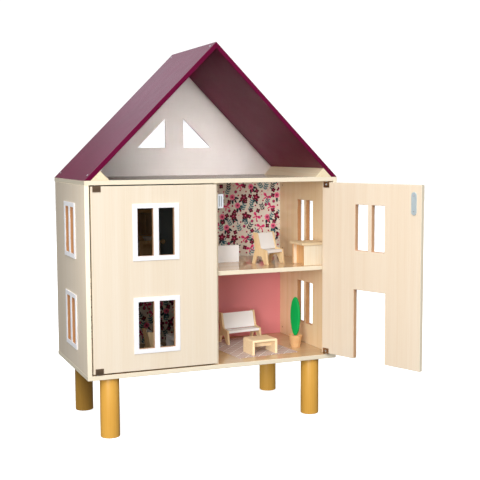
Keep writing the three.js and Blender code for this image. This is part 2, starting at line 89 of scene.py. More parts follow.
camera = bpy.data.objects.new("camera", bpy.data.cameras.new("camera"))
camera.data.lens = LENS
camera.data.clip_start, camera.data.clip_end = 0.05, 60.0
turn = Matrix([[right[i], up[i], -forward[i]] for i in range(3)]).to_4x4()
eye = Vector((house_middle[0] + EYE_OFFSET[0], house_middle[1] + EYE_OFFSET[1], EYE_HEIGHT))
camera.matrix_world = Matrix.Translation(eye) @ turn
bpy.context.scene.collection.objects.link(camera)
bpy.context.scene.camera = camera
print("eye", tuple(round(c, 3) for c in eye))

# %% [markdown]
# ## Studio light
# The house stands in a white studio. A large soft box high at its left front is the key light, and
# a low one beside it reaches into the rooms. Two fills at the same height lift the walls and toys
# that lie in shade. Three small lamps do one job each: a glow on the gable, a wash along the front
# of the left wall, and a weak cool sheen on the roof from behind. The sky overhead is bright and
# the sides of the studio are dim, so the boards keep a soft shade from top to bottom.

# %% Lights
def soft_box(name, place, target, size, power):
    """Square area light at `place`, turned so that it faces `target`."""
    light = bpy.data.lights.new(name, "AREA")
    light.shape = "SQUARE"
    light.size = size
    light.energy = power
    lamp = bpy.data.objects.new(name, light)
    aim = (Vector(target) - Vector(place)).to_track_quat("-Z", "Y")
    lamp.matrix_world = Matrix.Translation(place) @ aim.to_matrix().to_4x4()
    bpy.context.scene.collection.objects.link(lamp)
    return lamp


aim_point = (house_middle[0], house_middle[1], 0.42)
gable_point = (house_middle[0] + 0.05, base_high[1], 0.64)
wall_point = (base_low[0], base_low[1] + 0.03, 0.36)
roof_point = (house_middle[0], house_middle[1], 0.72)
LAMPS = {  # place, what it faces, side of the square in metres, power in watts
    "key": ((-1.01, -2.28, 1.92), aim_point, 1.4, 42),
    "room_light": ((-1.76, -2.33, 0.62), aim_point, 1.1, 40),
    "side_fill": ((-1.76, -2.33, 0.6), aim_point, 1.1, 24),
    "front_fill": ((-0.25, -3.0, 0.62), aim_point, 1.3, 20),
    "gable_glow": ((-0.1, -2.2, 0.9), gable_point, 0.3, 0.36),
    "wall_wash": ((-0.62, -0.37, 0.46), wall_point, 0.3, 2.5),
    "roof_sheen": ((-0.32, 2.3, 1.86), roof_point, 1.2, 2.0),
}
lamps = {name: soft_box(name, *setting) for name, setting in LAMPS.items()}
lamps["front_fill"].data.color = (0.88, 0.94, 1.0)
lamps["roof_sheen"].data.color = (0.86, 0.84, 1.0)
lamps["gable_glow"].data.spread = math.radians(12)
bpy.context.scene.view_settings.view_transform = "Standard"

world = bpy.data.worlds.new("white_room")
world.use_nodes = True
sky = world.node_tree
room_glow = sky.nodes["Background"]
room_glow.inputs["Color"].default_value = (0.97, 0.985, 1.0, 1)
height = sky.nodes.new("ShaderNodeSeparateXYZ")
sky.links.new(sky.nodes.new("ShaderNodeTexCoord").outputs["Generated"], height.inputs[0])
ceiling_glow = sky.nodes.new("ShaderNodeMapRange")
SKY_HEIGHTS, SKY_STRENGTHS = (0.22, 0.8), (0.12, 1.25)
for socket, value in enumerate((*SKY_HEIGHTS, *SKY_STRENGTHS), start=1):
    ceiling_glow.inputs[socket].default_value = value
sky.links.new(height.outputs[2], ceiling_glow.inputs[0])
sky.links.new(ceiling_glow.outputs[0], room_glow.inputs["Strength"])
seen_white = sky.nodes.new("ShaderNodeBackground")
seen_white.inputs["Color"].default_value = (1, 1, 1, 1)
seen_white.inputs["Strength"].default_value = 1.1
choose = sky.nodes.new("ShaderNodeMixShader")
ray = sky.nodes.new("ShaderNodeLightPath")
sky.links.new(ray.outputs["Is Camera Ray"], choose.inputs[0])
sky.links.new(room_glow.outputs[0], choose.inputs[1])
sky.links.new(seen_white.outputs[0], choose.inputs[2])
sky.links.new(choose.outputs[0], sky.nodes["World Output"].inputs[0])
bpy.context.scene.world = world
print("lights", {name: setting[3] for name, setting in LAMPS.items()})

# %% [markdown]
# ## Helpers for node materials
# Each finish is a small graph of shader nodes. A few helpers keep the cells short. One adds a node
# and fills its inputs. Another turns a colour as a painter would read it into the linear numbers
# that a shader wants. The rest each stand for one kind of node: a sum, a blend, a noise, a bump.

# %% Material helpers
def paint(red, green, blue):
    """A screen colour, 0 to 255, as linear RGBA: ((c/255 + 0.055) / 1.055) to the power 2.4."""
    c = np.array([red, green, blue]) / 255
    linear = np.where(c <= 0.04045, c / 12.92, ((c + 0.055) / 1.055) ** 2.4)
    return (*linear.tolist(), 1.0)


def new_finish(name, roughness=0.5, metallic=0.0, **sockets):
    """Material with one Principled shader. Constants go straight onto its sockets."""
    material = bpy.data.materials.new(name)
    material.use_nodes = True
    shader = material.node_tree.nodes["Principled BSDF"]
    shader.inputs["Roughness"].default_value = roughness
    shader.inputs["Metallic"].default_value = metallic
    for socket, value in sockets.items():
        shader.inputs[socket.replace("_", " ")].default_value = value
    return material, material.node_tree, shader


def node(tree, kind, inputs=None, **settings):
    """Adds a shader node. An input may be a number, a colour, or another node's output."""
    made = tree.nodes.new("ShaderNode" + kind)
    for key, value in settings.items():
        setattr(made, key, value)
    for key, value in (inputs or {}).items():
        socket = made.inputs[key]
        if isinstance(value, bpy.types.NodeSocket):
            tree.links.new(value, socket)
        else:
            socket.default_value = value
    return made


def sums(tree, operation, first, second=0.0):
    """One Math node: first (operation) second."""
    return node(tree, "Math", {0: first, 1: second}, operation=operation).outputs[0]


def weighed(tree, *terms):
    """Sum of value times weight over the pairs (value, weight)."""
    total = None
    for value, weight in terms:
        term = sums(tree, "MULTIPLY", value, weight)
        total = term if total is None else sums(tree, "ADD", total, term)
    return total


def blend(tree, share, colour_a, colour_b):
    """Colour a where share is 0 and colour b where it is 1."""
    inputs = {"Factor": share, 6: colour_a, 7: colour_b}
    return node(tree, "Mix", inputs, data_type="RGBA").outputs[2]


def stretch(tree, value, low, high, to_low, to_high):
    """Maps a value from one range to another, and stops at its ends."""
    inputs = {0: value, 1: low, 2: high, 3: to_low, 4: to_high}
    return node(tree, "MapRange", inputs).outputs[0]


def place_of(tree, scale=(1, 1, 1)):
    """Object coordinates, scaled along each axis."""
    spot = node(tree, "TexCoord").outputs["Object"]
    return node(tree, "Mapping", {"Vector": spot, "Scale": scale}).outputs[0]


def normal_along(tree, axis):
    """How far the surface faces along one axis, from -1 to 1."""
    normal = node(tree, "TexCoord").outputs["Normal"]
    return node(tree, "SeparateXYZ", {0: normal}).outputs["XYZ".index(axis.upper())]


def noise(tree, vector, scale=1.0, detail=4.0, roughness=0.55):
    """Smooth random pattern from 0 to 1."""
    inputs = {"Vector": vector, "Scale": scale, "Detail": detail, "Roughness": roughness}
    return node(tree, "TexNoise", inputs).outputs["Fac"]


def emboss(tree, shader, height, distance):
    """Lets a height pattern tilt the surface, with the relief given in metres."""
    inputs = {"Height": height, "Distance": distance, "Strength": 1.0}
    tree.links.new(node(tree, "Bump", inputs).outputs[0], shader.inputs["Normal"])


def give(material, *names):
    """Puts one finish on whole nodes."""
    for name in names:
        NODES[name].data.materials.clear()
        NODES[name].data.materials.append(material)


print("paint(255, 255, 255) =", paint(255, 255, 255))

# %% [markdown]
# ## Wood-effect board
# The carcass and doors are particle board under a printed foil: pale, nearly white wood with faint
# fibres along the length, cream bands on the outer edges, and bare brown core where the windows
# were sawn out. Painting three kinds of surface on one mesh could be done with three material
# slots, but the frame's mesh stays untouched here. The material works out by itself which surface
# it is on. A point whose normal is across the board lies on a broad face. Any other point is on an
# edge: near the board's outline it is banded, and well inside it is the wall of a window.
# On the room sides, the attic floor and the sawn core, the foil and core come in lighter and darker
# copies of one material that paint light and shade.

# %% Fibres and board masks
ALONG = {"x": (0.02, 1, 1), "y": (1, 0.02, 1), "z": (1, 1, 0.02)}
FINE_FIBRES, BROAD_FIBRES = 420, 55  # per metre, across the fibres


def fibres(tree, along, vector=None):
    """Two stretched noises: hair-fine streaks, and broad bands as wide as a finger."""
    stretch_by = np.array(ALONG[along])
    spot = vector or node(tree, "TexCoord").outputs["Object"]
    fine, broad = [
        node(tree, "Mapping", {"Vector": spot, "Scale": tuple(stretch_by * count)}).outputs[0]
        for count in (FINE_FIBRES, BROAD_FIBRES)
    ]
    return noise(tree, fine, 1.0, 5.0, 0.6), noise(tree, broad, 1.0, 3.0, 0.5)


def board_masks(tree, low, high, face_axis, spot, normal, inset=0.0025):
    """
    Shares from 0 to 1 for `edge` (outer edges), `reveal` (sawn openings) and `softened` (arrises,
    where no axis takes most of the normal). A point is inside the outline when
    |p - centre| / half size is below 1 - inset / half size on both other axes.
    """
    centre, half = (low + high) / 2, (high - low) / 2
    size = node(tree, "VectorMath", {0: normal}, operation="ABSOLUTE").outputs[0]
    parts = node(tree, "SeparateXYZ", {0: size}).outputs
    on_face = sums(tree, "GREATER_THAN", parts["XYZ".index(face_axis.upper())], 0.8)
    scaled = node(tree, "Mapping", {
        "Vector": spot, "Location": tuple(-centre / half), "Scale": tuple(1 / half),
    }).outputs[0]
    away = node(tree, "VectorMath", {0: scaled}, operation="ABSOLUTE").outputs[0]
    away = node(tree, "SeparateXYZ", {0: away}).outputs
    inside = 1.0
    for index, axis in enumerate("xyz"):
        if axis != face_axis:
            near = sums(tree, "LESS_THAN", away[index], 1 - inset / half[index])
            inside = near if inside == 1.0 else sums(tree, "MULTIPLY", inside, near)
    off_face = sums(tree, "SUBTRACT", 1.0, on_face)
    reveal = sums(tree, "MULTIPLY", off_face, inside)
    edge = sums(tree, "SUBTRACT", off_face, reveal)
    longest = sums(tree, "MAXIMUM", sums(tree, "MAXIMUM", parts[0], parts[1]), parts[2])
    softened = sums(tree, "LESS_THAN", longest, 0.95)
    return edge, reveal, softened


FOIL = paint(243, 229, 209), paint(236, 218, 192)
# The attic floor is the same foil made darker: painted shade under the roof.
ATTIC_FOIL_SHADED = paint(218, 200, 180), paint(208, 188, 166)
# Room sides: warmer on walls and door insides as painted bounce light, darker and warmer on flat
# faces as painted shade.
ROOM_LIGHT_AND_SHADE_FOILS = {
    "x": (paint(244, 219, 180), paint(233, 201, 153)),
    "y": (paint(250, 233, 210), paint(243, 221, 193)),
    "z": (paint(216, 187, 148), paint(200, 165, 121)),
}
# The sawn core is one material: a darker copy in the wall reveals as painted shade, a lighter one
# in the door reveals as painted light.
WALL_CORE_SHADED = paint(202, 148, 98), paint(164, 108, 64)
DOOR_CORE_LIT = paint(228, 186, 148), paint(204, 156, 114)
BAND = paint(245, 232, 207)
FLOOR_SHEEN, UPRIGHT_SHEEN, CORE_ROUGHER = (0.05, 0.1), (0.15, 0.24), 0.4
FLOOR_RELIEF, UPRIGHT_RELIEF = 0.00001, 0.00006


def board_finish(name, low, high, face_axis, along, inner=0, turned_by=0.0, pivot=(0, 0, 0)):
    """
    Wood-effect foil on the faces, cream banding on the edges, bare core in the openings. The
    room side, where the normal along the face axis has the sign `inner`, has a foil with painted
    light and shade: warmer on walls and doors, darker on flat faces. The top panel's upper face
    gets a darker foil and the wall reveals a darker core as painted shade; the door reveals get a
    lighter core as painted light. A board that stands `turned_by` about `pivot` is worked out as
    if it were turned back.
    """
    material, tree, shader = new_finish("board_" + name, 0.28)
    coordinates = node(tree, "TexCoord").outputs
    spot, normal = coordinates["Object"], coordinates["Normal"]
    if turned_by:
        back = {"Center": pivot, "Axis": (0, 0, 1), "Angle": -turned_by}
        spot = node(tree, "VectorRotate", {"Vector": spot, **back}).outputs[0]
        back["Center"] = (0, 0, 0)
        normal = node(tree, "VectorRotate", {"Vector": normal, **back}).outputs[0]
    fine, broad = fibres(tree, along, spot)
    edge, reveal, softened = board_masks(tree, low, high, face_axis, spot, normal)
    share = stretch(tree, weighed(tree, (fine, 0.55), (broad, 0.6)), 0.38, 0.82, 0.0, 1.0)
    # The top panel's upper face, the attic floor, takes the darker foil as painted shade.
    foil = blend(tree, share, *(ATTIC_FOIL_SHADED if name == "top_panel" else FOIL))
    # Room side: a warmer foil on walls and doors as painted bounce light, a darker one on flat
    # faces as painted shade.
    if inner:
        toward = node(tree, "SeparateXYZ", {0: normal}).outputs["XYZ".index(face_axis.upper())]
        toward = sums(tree, "MULTIPLY", toward, float(inner))
        painted_room_side = sums(tree, "GREATER_THAN", toward, 0.5)
        foil = blend(tree, painted_room_side, foil, blend(tree, share, *ROOM_LIGHT_AND_SHADE_FOILS[face_axis]))
    speckle = noise(tree, spot, 900.0, 3.0, 0.6)
    # Lit core in door reveals, shaded core in wall reveals: painted light and shade.
    core = blend(tree, speckle, *(DOOR_CORE_LIT if face_axis == "y" else WALL_CORE_SHADED))
    rubbed = stretch(tree, noise(tree, spot, 60.0), 0.4, 0.7, 0.0, 0.5)
    colour = blend(tree, edge, foil, BAND)
    colour = blend(tree, reveal, colour, core)
    colour = blend(tree, sums(tree, "MULTIPLY", softened, rubbed), colour, BAND)
    tree.links.new(colour, shader.inputs["Base Color"])
    lies_flat = face_axis == "z"
    sheen = stretch(tree, fine, 0.3, 0.7, *(FLOOR_SHEEN if lies_flat else UPRIGHT_SHEEN))
    rough = sums(tree, "ADD", sheen, sums(tree, "MULTIPLY", reveal, CORE_ROUGHER))
    tree.links.new(rough, shader.inputs["Roughness"])
    relief = sums(tree, "ADD", fine, sums(tree, "MULTIPLY", reveal, speckle))
    emboss(tree, shader, relief, FLOOR_RELIEF if lies_flat else UPRIGHT_RELIEF)
    return material


# %% Boards of the carcass
BOARDS = {  # broad face, direction of the fibres, sign of the room side (0 for none)
    "bottom_panel": ("z", "x", 1), "top_panel": ("z", "x", -1), "left_shelf": ("z", "x", 1),
    "right_shelf": ("z", "x", 1), "left_side_panel": ("x", "z", 1),
    "right_side_panel": ("x", "z", -1), "divider_panel": ("x", "z", 0), "left_door": ("y", "z", 1),
}
for name, (face_axis, along, inner) in BOARDS.items():
    give(board_finish(name, *corners(name), face_axis, along, inner), name)

pin_low, pin_high = corners("right_door_lower_hinge_pin")
RIGHT_PIVOT = (pin_low + pin_high) / 2
left_low, left_high = corners("left_door")
middle_x = house_middle[0]
closed_low = np.array([2 * middle_x - left_high[0], left_low[1], left_low[2]])
closed_high = np.array([2 * middle_x - left_low[0], left_high[1], left_high[2]])
RIGHT_OPEN = math.radians(110)
standing_open = (RIGHT_OPEN, (RIGHT_PIVOT[0], RIGHT_PIVOT[1], 0.0))
give(board_finish("right_door", closed_low, closed_high, "y", "z", 1, *standing_open), "right_door")
print("right door closed would span", np.round(closed_low, 4), np.round(closed_high, 4))

# %% [markdown]
# ## Painted parts
# The roof is satin burgundy lacquer, the gable board semi-gloss warm grey, and the legs ochre.
# Paint on board is never dead flat: the roller leaves a fine orange peel, and the sheen wanders a
# little. A weak bump and a roughness that drifts are enough to give both.

# %% Painted finishes
def lacquer(name, colour, deep, roughness, peel=0.00003, along=None, specular=0.5, under=None):
    """
    Paint with orange peel, a slow drift of colour, and a sheen that wanders. `under` is the
    roughness of the faces that point down, where only one coat was rolled on.
    """
    material, tree, shader = new_finish(name, roughness, Specular_IOR_Level=specular)
    spot = place_of(tree)
    drift = noise(tree, spot, 9.0, 3.0)
    if along:
        drift = weighed(tree, (drift, 0.5), (fibres(tree, along)[0], 0.5))
    tint = stretch(tree, drift, 0.35, 0.68, 0.0, 1.0)
    tree.links.new(blend(tree, tint, colour, deep), shader.inputs["Base Color"])
    sheen_drift = noise(tree, spot, 30.0, 3.0)
    wander = stretch(tree, sheen_drift, 0.3, 0.7, roughness * 0.92, roughness * 1.1)
    if under:
        below = sums(tree, "LESS_THAN", normal_along(tree, "z"), -0.3)
        wander = sums(tree, "ADD", wander, sums(tree, "MULTIPLY", below, under - roughness))
    tree.links.new(wander, shader.inputs["Roughness"])
    emboss(tree, shader, noise(tree, spot, 420.0, 2.0), peel)
    return material


roof_paint = lacquer(
    "burgundy_lacquer", paint(128, 14, 66), paint(120, 12, 60), 0.24, 0.000006,
    specular=0.3, under=0.45,
)
gable_paint = lacquer("warm_grey_paint", paint(217, 210, 205), paint(210, 202, 196), 0.22)
leg_paint = lacquer("ochre_paint", paint(240, 184, 86), paint(228, 168, 70), 0.36, along="z")
white_paint = lacquer("white_paint", paint(246, 244, 242), paint(238, 235, 232), 0.5, 0.00005)
trim_film = lacquer("white_trim_film", paint(252, 251, 253), paint(246, 245, 248), 0.42, 0.00002)
give(roof_paint, "left_roof_panel", "right_roof_panel")
give(gable_paint, "attic_back_panel")
give(trim_film, *[n for n in NODES if n.endswith("window_frame") or n == "doorway_frame"])
give(white_paint, "chair_back", "chair_seat", "bench_back", "bench_seat", "daybed", "dining_table")
print("painted", [m.name for m in (roof_paint, gable_paint, leg_paint, white_paint, trim_film)])

# %% [markdown]
# ## Bare wood
# The little furniture is bare sanded maple, and the strips at the foot of the roof are pine. Bare
# wood differs from the printed foil in its contrast and in its open, dry surface. The rings of a
# plank are worked out as a wave that noise bends, stretched along the fibres.

# %% Bare wood finishes
def bare_wood(name, pale, dark, along, ring=130.0, roughness=0.55, side=None):
    """
    Bent rings times fine fibres: the wave runs across the fibres and noise pushes it about.
    `side` is a pair of deeper tones painted on the faces that look left or right, as shade.
    """
    material, tree, shader = new_finish(name, roughness)
    squeeze = np.array(ALONG[along]) * np.array([1.0, 0.85, 1.1])
    spot = place_of(tree, tuple(squeeze))
    bent = sums(tree, "ADD", noise(tree, spot, 8.0), noise(tree, spot, 22.0, 3.0))
    rings = sums(tree, "SINE", sums(tree, "MULTIPLY", bent, ring))
    fine, broad = fibres(tree, along)
    ring_share = stretch(tree, rings, -1, 1, 0.0, 0.35)
    share = sums(tree, "ADD", ring_share, stretch(tree, fine, 0.3, 0.75, 0.0, 0.65))
    colour = blend(tree, share, pale, dark)
    # Painted shade: faces that look left or right take the deeper tones.
    if side:
        facing = sums(tree, "ABSOLUTE", normal_along(tree, "x"))
        shaded_sides = sums(tree, "GREATER_THAN", facing, 0.8)
        colour = blend(tree, shaded_sides, colour, blend(tree, share, *side))
    tree.links.new(colour, shader.inputs["Base Color"])
    dry = stretch(tree, broad, 0.3, 0.7, roughness * 0.9, roughness * 1.15)
    tree.links.new(dry, shader.inputs["Roughness"])
    emboss(tree, shader, share, 0.00008)
    return material


maple_up = bare_wood("maple_upright", paint(243, 217, 174), paint(224, 188, 136), "z")
maple_across = bare_wood("maple_across", paint(245, 224, 188), paint(228, 198, 152), "x")
DESK_FRONT = paint(250, 237, 214), paint(239, 219, 186)
# The desk's sides take a deeper, more orange copy of its maple: painted shade.
DESK_SIDE_SHADE = paint(246, 200, 142), paint(232, 172, 108)
maple_pale = bare_wood("maple_pale", *DESK_FRONT, "z", side=DESK_SIDE_SHADE)
pine = bare_wood("pine_strip", paint(248, 234, 204), paint(236, 212, 168), "y")
pot_wood = bare_wood("turned_pot_wood", paint(246, 204, 150), paint(236, 182, 126), "x", 60.0)
give(maple_up, *[f"{s}_{side}_side" for s in ("chair", "bench") for side in ("left", "right")])
give(maple_pale, "desk_body")
give(maple_up, "washstand")
give(maple_across, "coffee_table", "desk_top")
give(pine, "left_roof_cleat", "right_roof_cleat")
print("bare wood", maple_up.name, maple_across.name, pine.name, pot_wood.name)

# %% [markdown]
# ## Metal and plastic
# Hinge clips are bronze-plated sheet, pins, studs and strike plates are bright zinc, and the
# catches are white moulded plastic. Rolled sheet shows fine lines along its length, which a
# stretched noise gives to the roughness. The strike plates are brushed and lacquered, so they are
# worked out as half metal, with one pattern for the colour and the sheen.

# %% Metal and plastic finishes
def rolled_metal(name, colour, deep, roughness, along):
    """Metal whose roughness follows fine rolling lines."""
    material, tree, shader = new_finish(name, roughness, 1.0)
    fine, broad = fibres(tree, along)
    tree.links.new(blend(tree, broad, colour, deep), shader.inputs["Base Color"])
    lines = stretch(tree, fine, 0.3, 0.7, roughness * 0.75, roughness * 1.35)
    tree.links.new(lines, shader.inputs["Roughness"])
    emboss(tree, shader, fine, 0.00002)
    return material


def grained(name, metallic, tone, colour, deep, roughness):
    """Colour and roughness that both follow one pattern, `tone`, made by a function of the tree."""
    middle = sum(roughness) / 2
    material, tree, shader = new_finish(name, middle, metallic)
    pattern = tone(tree)
    tree.links.new(blend(tree, pattern, colour, deep), shader.inputs["Base Color"])
    tree.links.new(stretch(tree, pattern, 0.3, 0.7, *roughness), shader.inputs["Roughness"])
    return material


bronze = rolled_metal("bronze_plating", paint(188, 158, 130), paint(150, 122, 98), 0.34, "x")
zinc = rolled_metal("bright_zinc", paint(206, 216, 220), paint(184, 196, 202), 0.3, "z")
catch_plastic = lacquer("catch_plastic", paint(226, 229, 234), paint(216, 220, 226), 0.3)
strike_steel = grained(
    "strike_steel", 0.35, lambda tree: fibres(tree, "z")[0],
    paint(214, 227, 231), paint(196, 212, 218), (0.34, 0.5),
)
give(bronze, *[n for n in NODES if n.endswith("hinge_clip")])
give(strike_steel, "left_door_strike_plate", "right_door_strike_plate")
give(zinc, *[n for n in NODES if n.endswith(("_pin", "_bolt"))])
give(catch_plastic, "left_magnetic_catch", "right_magnetic_catch")
print("metal and plastic", [m.name for m in (bronze, zinc, strike_steel, catch_plastic)])

# %% [markdown]
# ## The papered back
# One thin board closes all four rooms from behind, and each room has its own colour printed on it:
# slate at the upper left, rose at the lower right, and a sand ground under the flowered paper in
# the other two. The material reads where it is: the divider parts left from right, and the shelves
# part upper from lower. Behind the house the same board shows plain pale hardboard.

# %% Back board finish
def back_board():
    """Each room's colour on its own part of the board, and hardboard where the board looks back."""
    material, tree, shader = new_finish("papered_back", 0.5)
    coordinates = node(tree, "TexCoord").outputs
    spot = node(tree, "SeparateXYZ", {0: coordinates["Object"]}).outputs
    facing = node(tree, "SeparateXYZ", {0: coordinates["Normal"]}).outputs
    divider_x = float(sum(c[0] for c in corners("divider_panel")) / 2)
    shelf_z = float(sum(c[2] for c in corners("left_shelf")) / 2)
    on_right = sums(tree, "GREATER_THAN", spot[0], divider_x)
    is_upper = sums(tree, "GREATER_THAN", spot[2], shelf_z)
    fibre = noise(tree, coordinates["Object"], 700.0, 4.0, 0.65)
    cloud = noise(tree, coordinates["Object"], 14.0, 3.0)
    tone = weighed(tree, (fibre, 0.6), (cloud, 0.4))
    sand = blend(tree, tone, paint(240, 232, 221), paint(228, 218, 205))
    slate = blend(tree, tone, paint(120, 132, 136), paint(104, 116, 121))
    rose = blend(tree, tone, paint(226, 140, 143), paint(219, 130, 134))
    hardboard = blend(tree, tone, paint(236, 228, 214), paint(222, 211, 193))
    upper = blend(tree, on_right, slate, sand)
    lower = blend(tree, on_right, sand, rose)
    front = blend(tree, is_upper, lower, upper)
    behind = sums(tree, "GREATER_THAN", facing[1], 0.3)
    tree.links.new(blend(tree, behind, front, hardboard), shader.inputs["Base Color"])
    tree.links.new(stretch(tree, fibre, 0.3, 0.7, 0.42, 0.56), shader.inputs["Roughness"])
    emboss(tree, shader, fibre, 0.00004)
    return material


give(back_board(), "back_panel")
print("back board spans", np.round(corners("back_panel"), 3).tolist())

# %% [markdown]
# ## New pieces as surfaces
# Everything added from here on is worked out with numpy. A surface is a grid of points, row by
# row, and its faces join neighbours. A row that closes on itself, such as the round of a turned
# leg, wraps from its last point to its first. Each end is closed with one flat face, so nothing is
# left open.

# %% Surface helpers
def grid_faces(rows, columns):
    """Quads between neighbouring points of a grid whose rows close on themselves."""
    r, c = np.meshgrid(np.arange(rows - 1), np.arange(columns), indexing="ij")
    after = (c + 1) % columns
    quads = [r * columns + c, r * columns + after, (r + 1) * columns + after, (r + 1) * columns + c]
    return np.stack(quads, -1).reshape(-1, 4)


def closed_faces(rows, columns):
    """The grid's quads, and one flat face over the first row and one over the last."""
    around = np.arange(columns)
    ends = [around[::-1].tolist(), (around + (rows - 1) * columns).tolist()]
    return grid_faces(rows, columns).tolist() + ends


def new_piece(name, points, faces, material, body, slot, sharp=35.0):
    """Mesh object at the origin with its place in its mesh. It rides on `body`."""
    mesh = bpy.data.meshes.new(name)
    mesh.from_pydata(np.asarray(points).reshape(-1, 3).tolist(), [], faces)
    mesh.materials.append(material)
    mesh.shade_smooth()
    mesh.set_sharp_from_angle(angle=math.radians(sharp))
    piece = bpy.data.objects.new(name, mesh)
    bpy.context.scene.collection.objects.link(piece)
    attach(piece, body)
    print(name, len(points), "points", len(faces), "faces on", body)
    return piece


def turned(profile, centre, steps=72):
    """
    A turned shape: each profile point (radius, height) goes once round a vertical axis through
    `centre`, as (radius cos t, radius sin t, height).
    """
    radius, height = np.array(profile, float).T * MM
    t = np.arange(steps) / steps * 2 * np.pi
    x = centre[0] + radius[:, None] * np.cos(t)
    y = centre[1] + radius[:, None] * np.sin(t)
    z = centre[2] + np.repeat(height[:, None], steps, 1)
    return np.stack([x, y, z], -1).reshape(-1, 3), closed_faces(len(radius), steps)


def several(shapes):
    """Many shapes as one mesh: points stacked, and face numbers moved up by what came before."""
    starts = np.cumsum([0] + [len(points) for points, _ in shapes])
    points = np.concatenate([points for points, _ in shapes])
    faces = [
        [int(i) + int(start) for i in face]
        for (_, made), start in zip(shapes, starts) for face in made
    ]
    return points, faces


print("a 4 by 6 closed grid has", len(closed_faces(4, 6)), "faces")

# %% [markdown]
# ## Legs
# A leg is a turned beech cylinder, dipped in ochre paint. Its two rims are broken with a small
# round, which catches a thin line of light. A cylinder with a Bevel would do, but a turned profile
# gives the round and the smooth side at once, and the same function turns the pot.

# %% Turned legs
LEG_ROUND, LEG_STEPS = 1.6, 96
for side in ("front_left", "front_right", "rear_left", "rear_right"):
    low, high = corners(side + "_leg")
    leg_radius, leg_height = (high[0] - low[0]) / 2 / MM, (high[2] - low[2]) / MM
    bend = np.linspace(0, np.pi / 2, 5)
    inset, rise = LEG_ROUND * (1 - np.sin(bend)), LEG_ROUND * (1 - np.cos(bend))
    foot = np.stack([leg_radius - inset, rise], 1)
    head = np.stack([foot[::-1, 0], leg_height - foot[::-1, 1]], 1)
    leg_foot = ((low[0] + high[0]) / 2, (low[1] + high[1]) / 2, low[2])
    leg_shape = turned(np.concatenate([foot, head]), leg_foot, LEG_STEPS)
    leg = new_piece(side + "_turned_leg", *leg_shape, leg_paint, "house", "ochre_paint")
    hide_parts(side + "_leg")

# %% [markdown]
# ## Potted cactus
# The pot is turned from one piece of pear wood: a cone with a softened rim, hollow down to the
# flat disc that holds the leaf. The leaf is an oval plate, sawn and sanded. Its edge is a half
# round, so a section through it is a long slot with round ends. That shape is written down in
# one formula with an angle round the outline and another one over the edge.

# %% Pot and leaf
pot_low, pot_high = corners("plant_pot")
pot_centre = ((pot_low[0] + pot_high[0]) / 2, (pot_low[1] + pot_high[1]) / 2, pot_low[2])
POT_PROFILE = [
    (10.4, 0), (11.1, 0.2), (11.5, 0.9), (16.4, 29.3), (16.9, 30.3), (16.5, 30.9), (15.9, 31.0),
    (15.1, 30.9), (14.6, 30.4), (14.3, 28.2), (13.8, 28.0),
]
pot_shape = turned(POT_PROFILE, pot_centre)
pot = new_piece("turned_plant_pot", *pot_shape, pot_wood, "plant", "pot_wood")
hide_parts("plant_pot")

LEAF_HALF_WIDTH, LEAF_HALF_HEIGHT, LEAF_HALF_THICK = 15.0, 48.0, 4.0
LEAF_TURN, LEAF_SLIMMER = math.radians(-66), 0.1


def oval_leaf(centre, across=11, around=96):
    """
    Outline (w cos u, h sin u), slimmer at its foot. Over the edge, an angle v from -90 to 90
    degrees moves a point in by r (1 - cos v) and across by r sin v, where r is half the thickness.
    """
    u = np.arange(around) / around * 2 * np.pi
    v = np.linspace(-np.pi / 2, np.pi / 2, across)[:, None]
    inset = LEAF_HALF_THICK * (1 - np.cos(v))
    slimmer = 1 - LEAF_SLIMMER * np.clip(-np.sin(u), 0, 1)
    side = (LEAF_HALF_WIDTH - inset) * np.cos(u) * slimmer
    height = (LEAF_HALF_HEIGHT - inset) * np.sin(u)
    thick = np.repeat(LEAF_HALF_THICK * np.sin(v), around, 1)
    x = side * math.cos(LEAF_TURN) + thick * math.sin(LEAF_TURN)
    y = side * math.sin(LEAF_TURN) - thick * math.cos(LEAF_TURN)
    points = np.stack([x, y, height], -1).reshape(-1, 3) * MM + np.array(centre)
    return points, closed_faces(across, around)


cactus_low, cactus_high = corners("cactus")
cactus_paint = lacquer(
    "leaf_green_paint", paint(0, 184, 90), paint(0, 170, 80), 0.5, 0.00005, specular=0.25,
)
leaf_shape = oval_leaf((cactus_low + cactus_high) / 2)
leaf = new_piece("cactus_leaf", *leaf_shape, cactus_paint, "plant", "green_paint")
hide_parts("cactus")

# %% [markdown]
# ## Rug
# The rug is a small woven mat with a slanting lattice. Cloth this thin hardly drapes: it lies flat
# and lifts by a hair where its threads pull. So it is a thin closed slab whose top rises and falls
# by a tenth of a millimetre. It carries its own UV map in metres, and the threads and the lattice
# are drawn on that, so they turn with the mat.

# %% Woven rug
RUG_SIZE, RUG_TURN = (0.158, 0.225), math.radians(4)
RUG_THREAD, RUG_LATTICE = 0.0011, 0.034
RUG_WAVE, RUG_HEM_DROP, RUG_HEM = 0.0001, 0.00045, 0.001
rug_low, rug_high = corners("rug")
rug_middle = (rug_low + rug_high) / 2


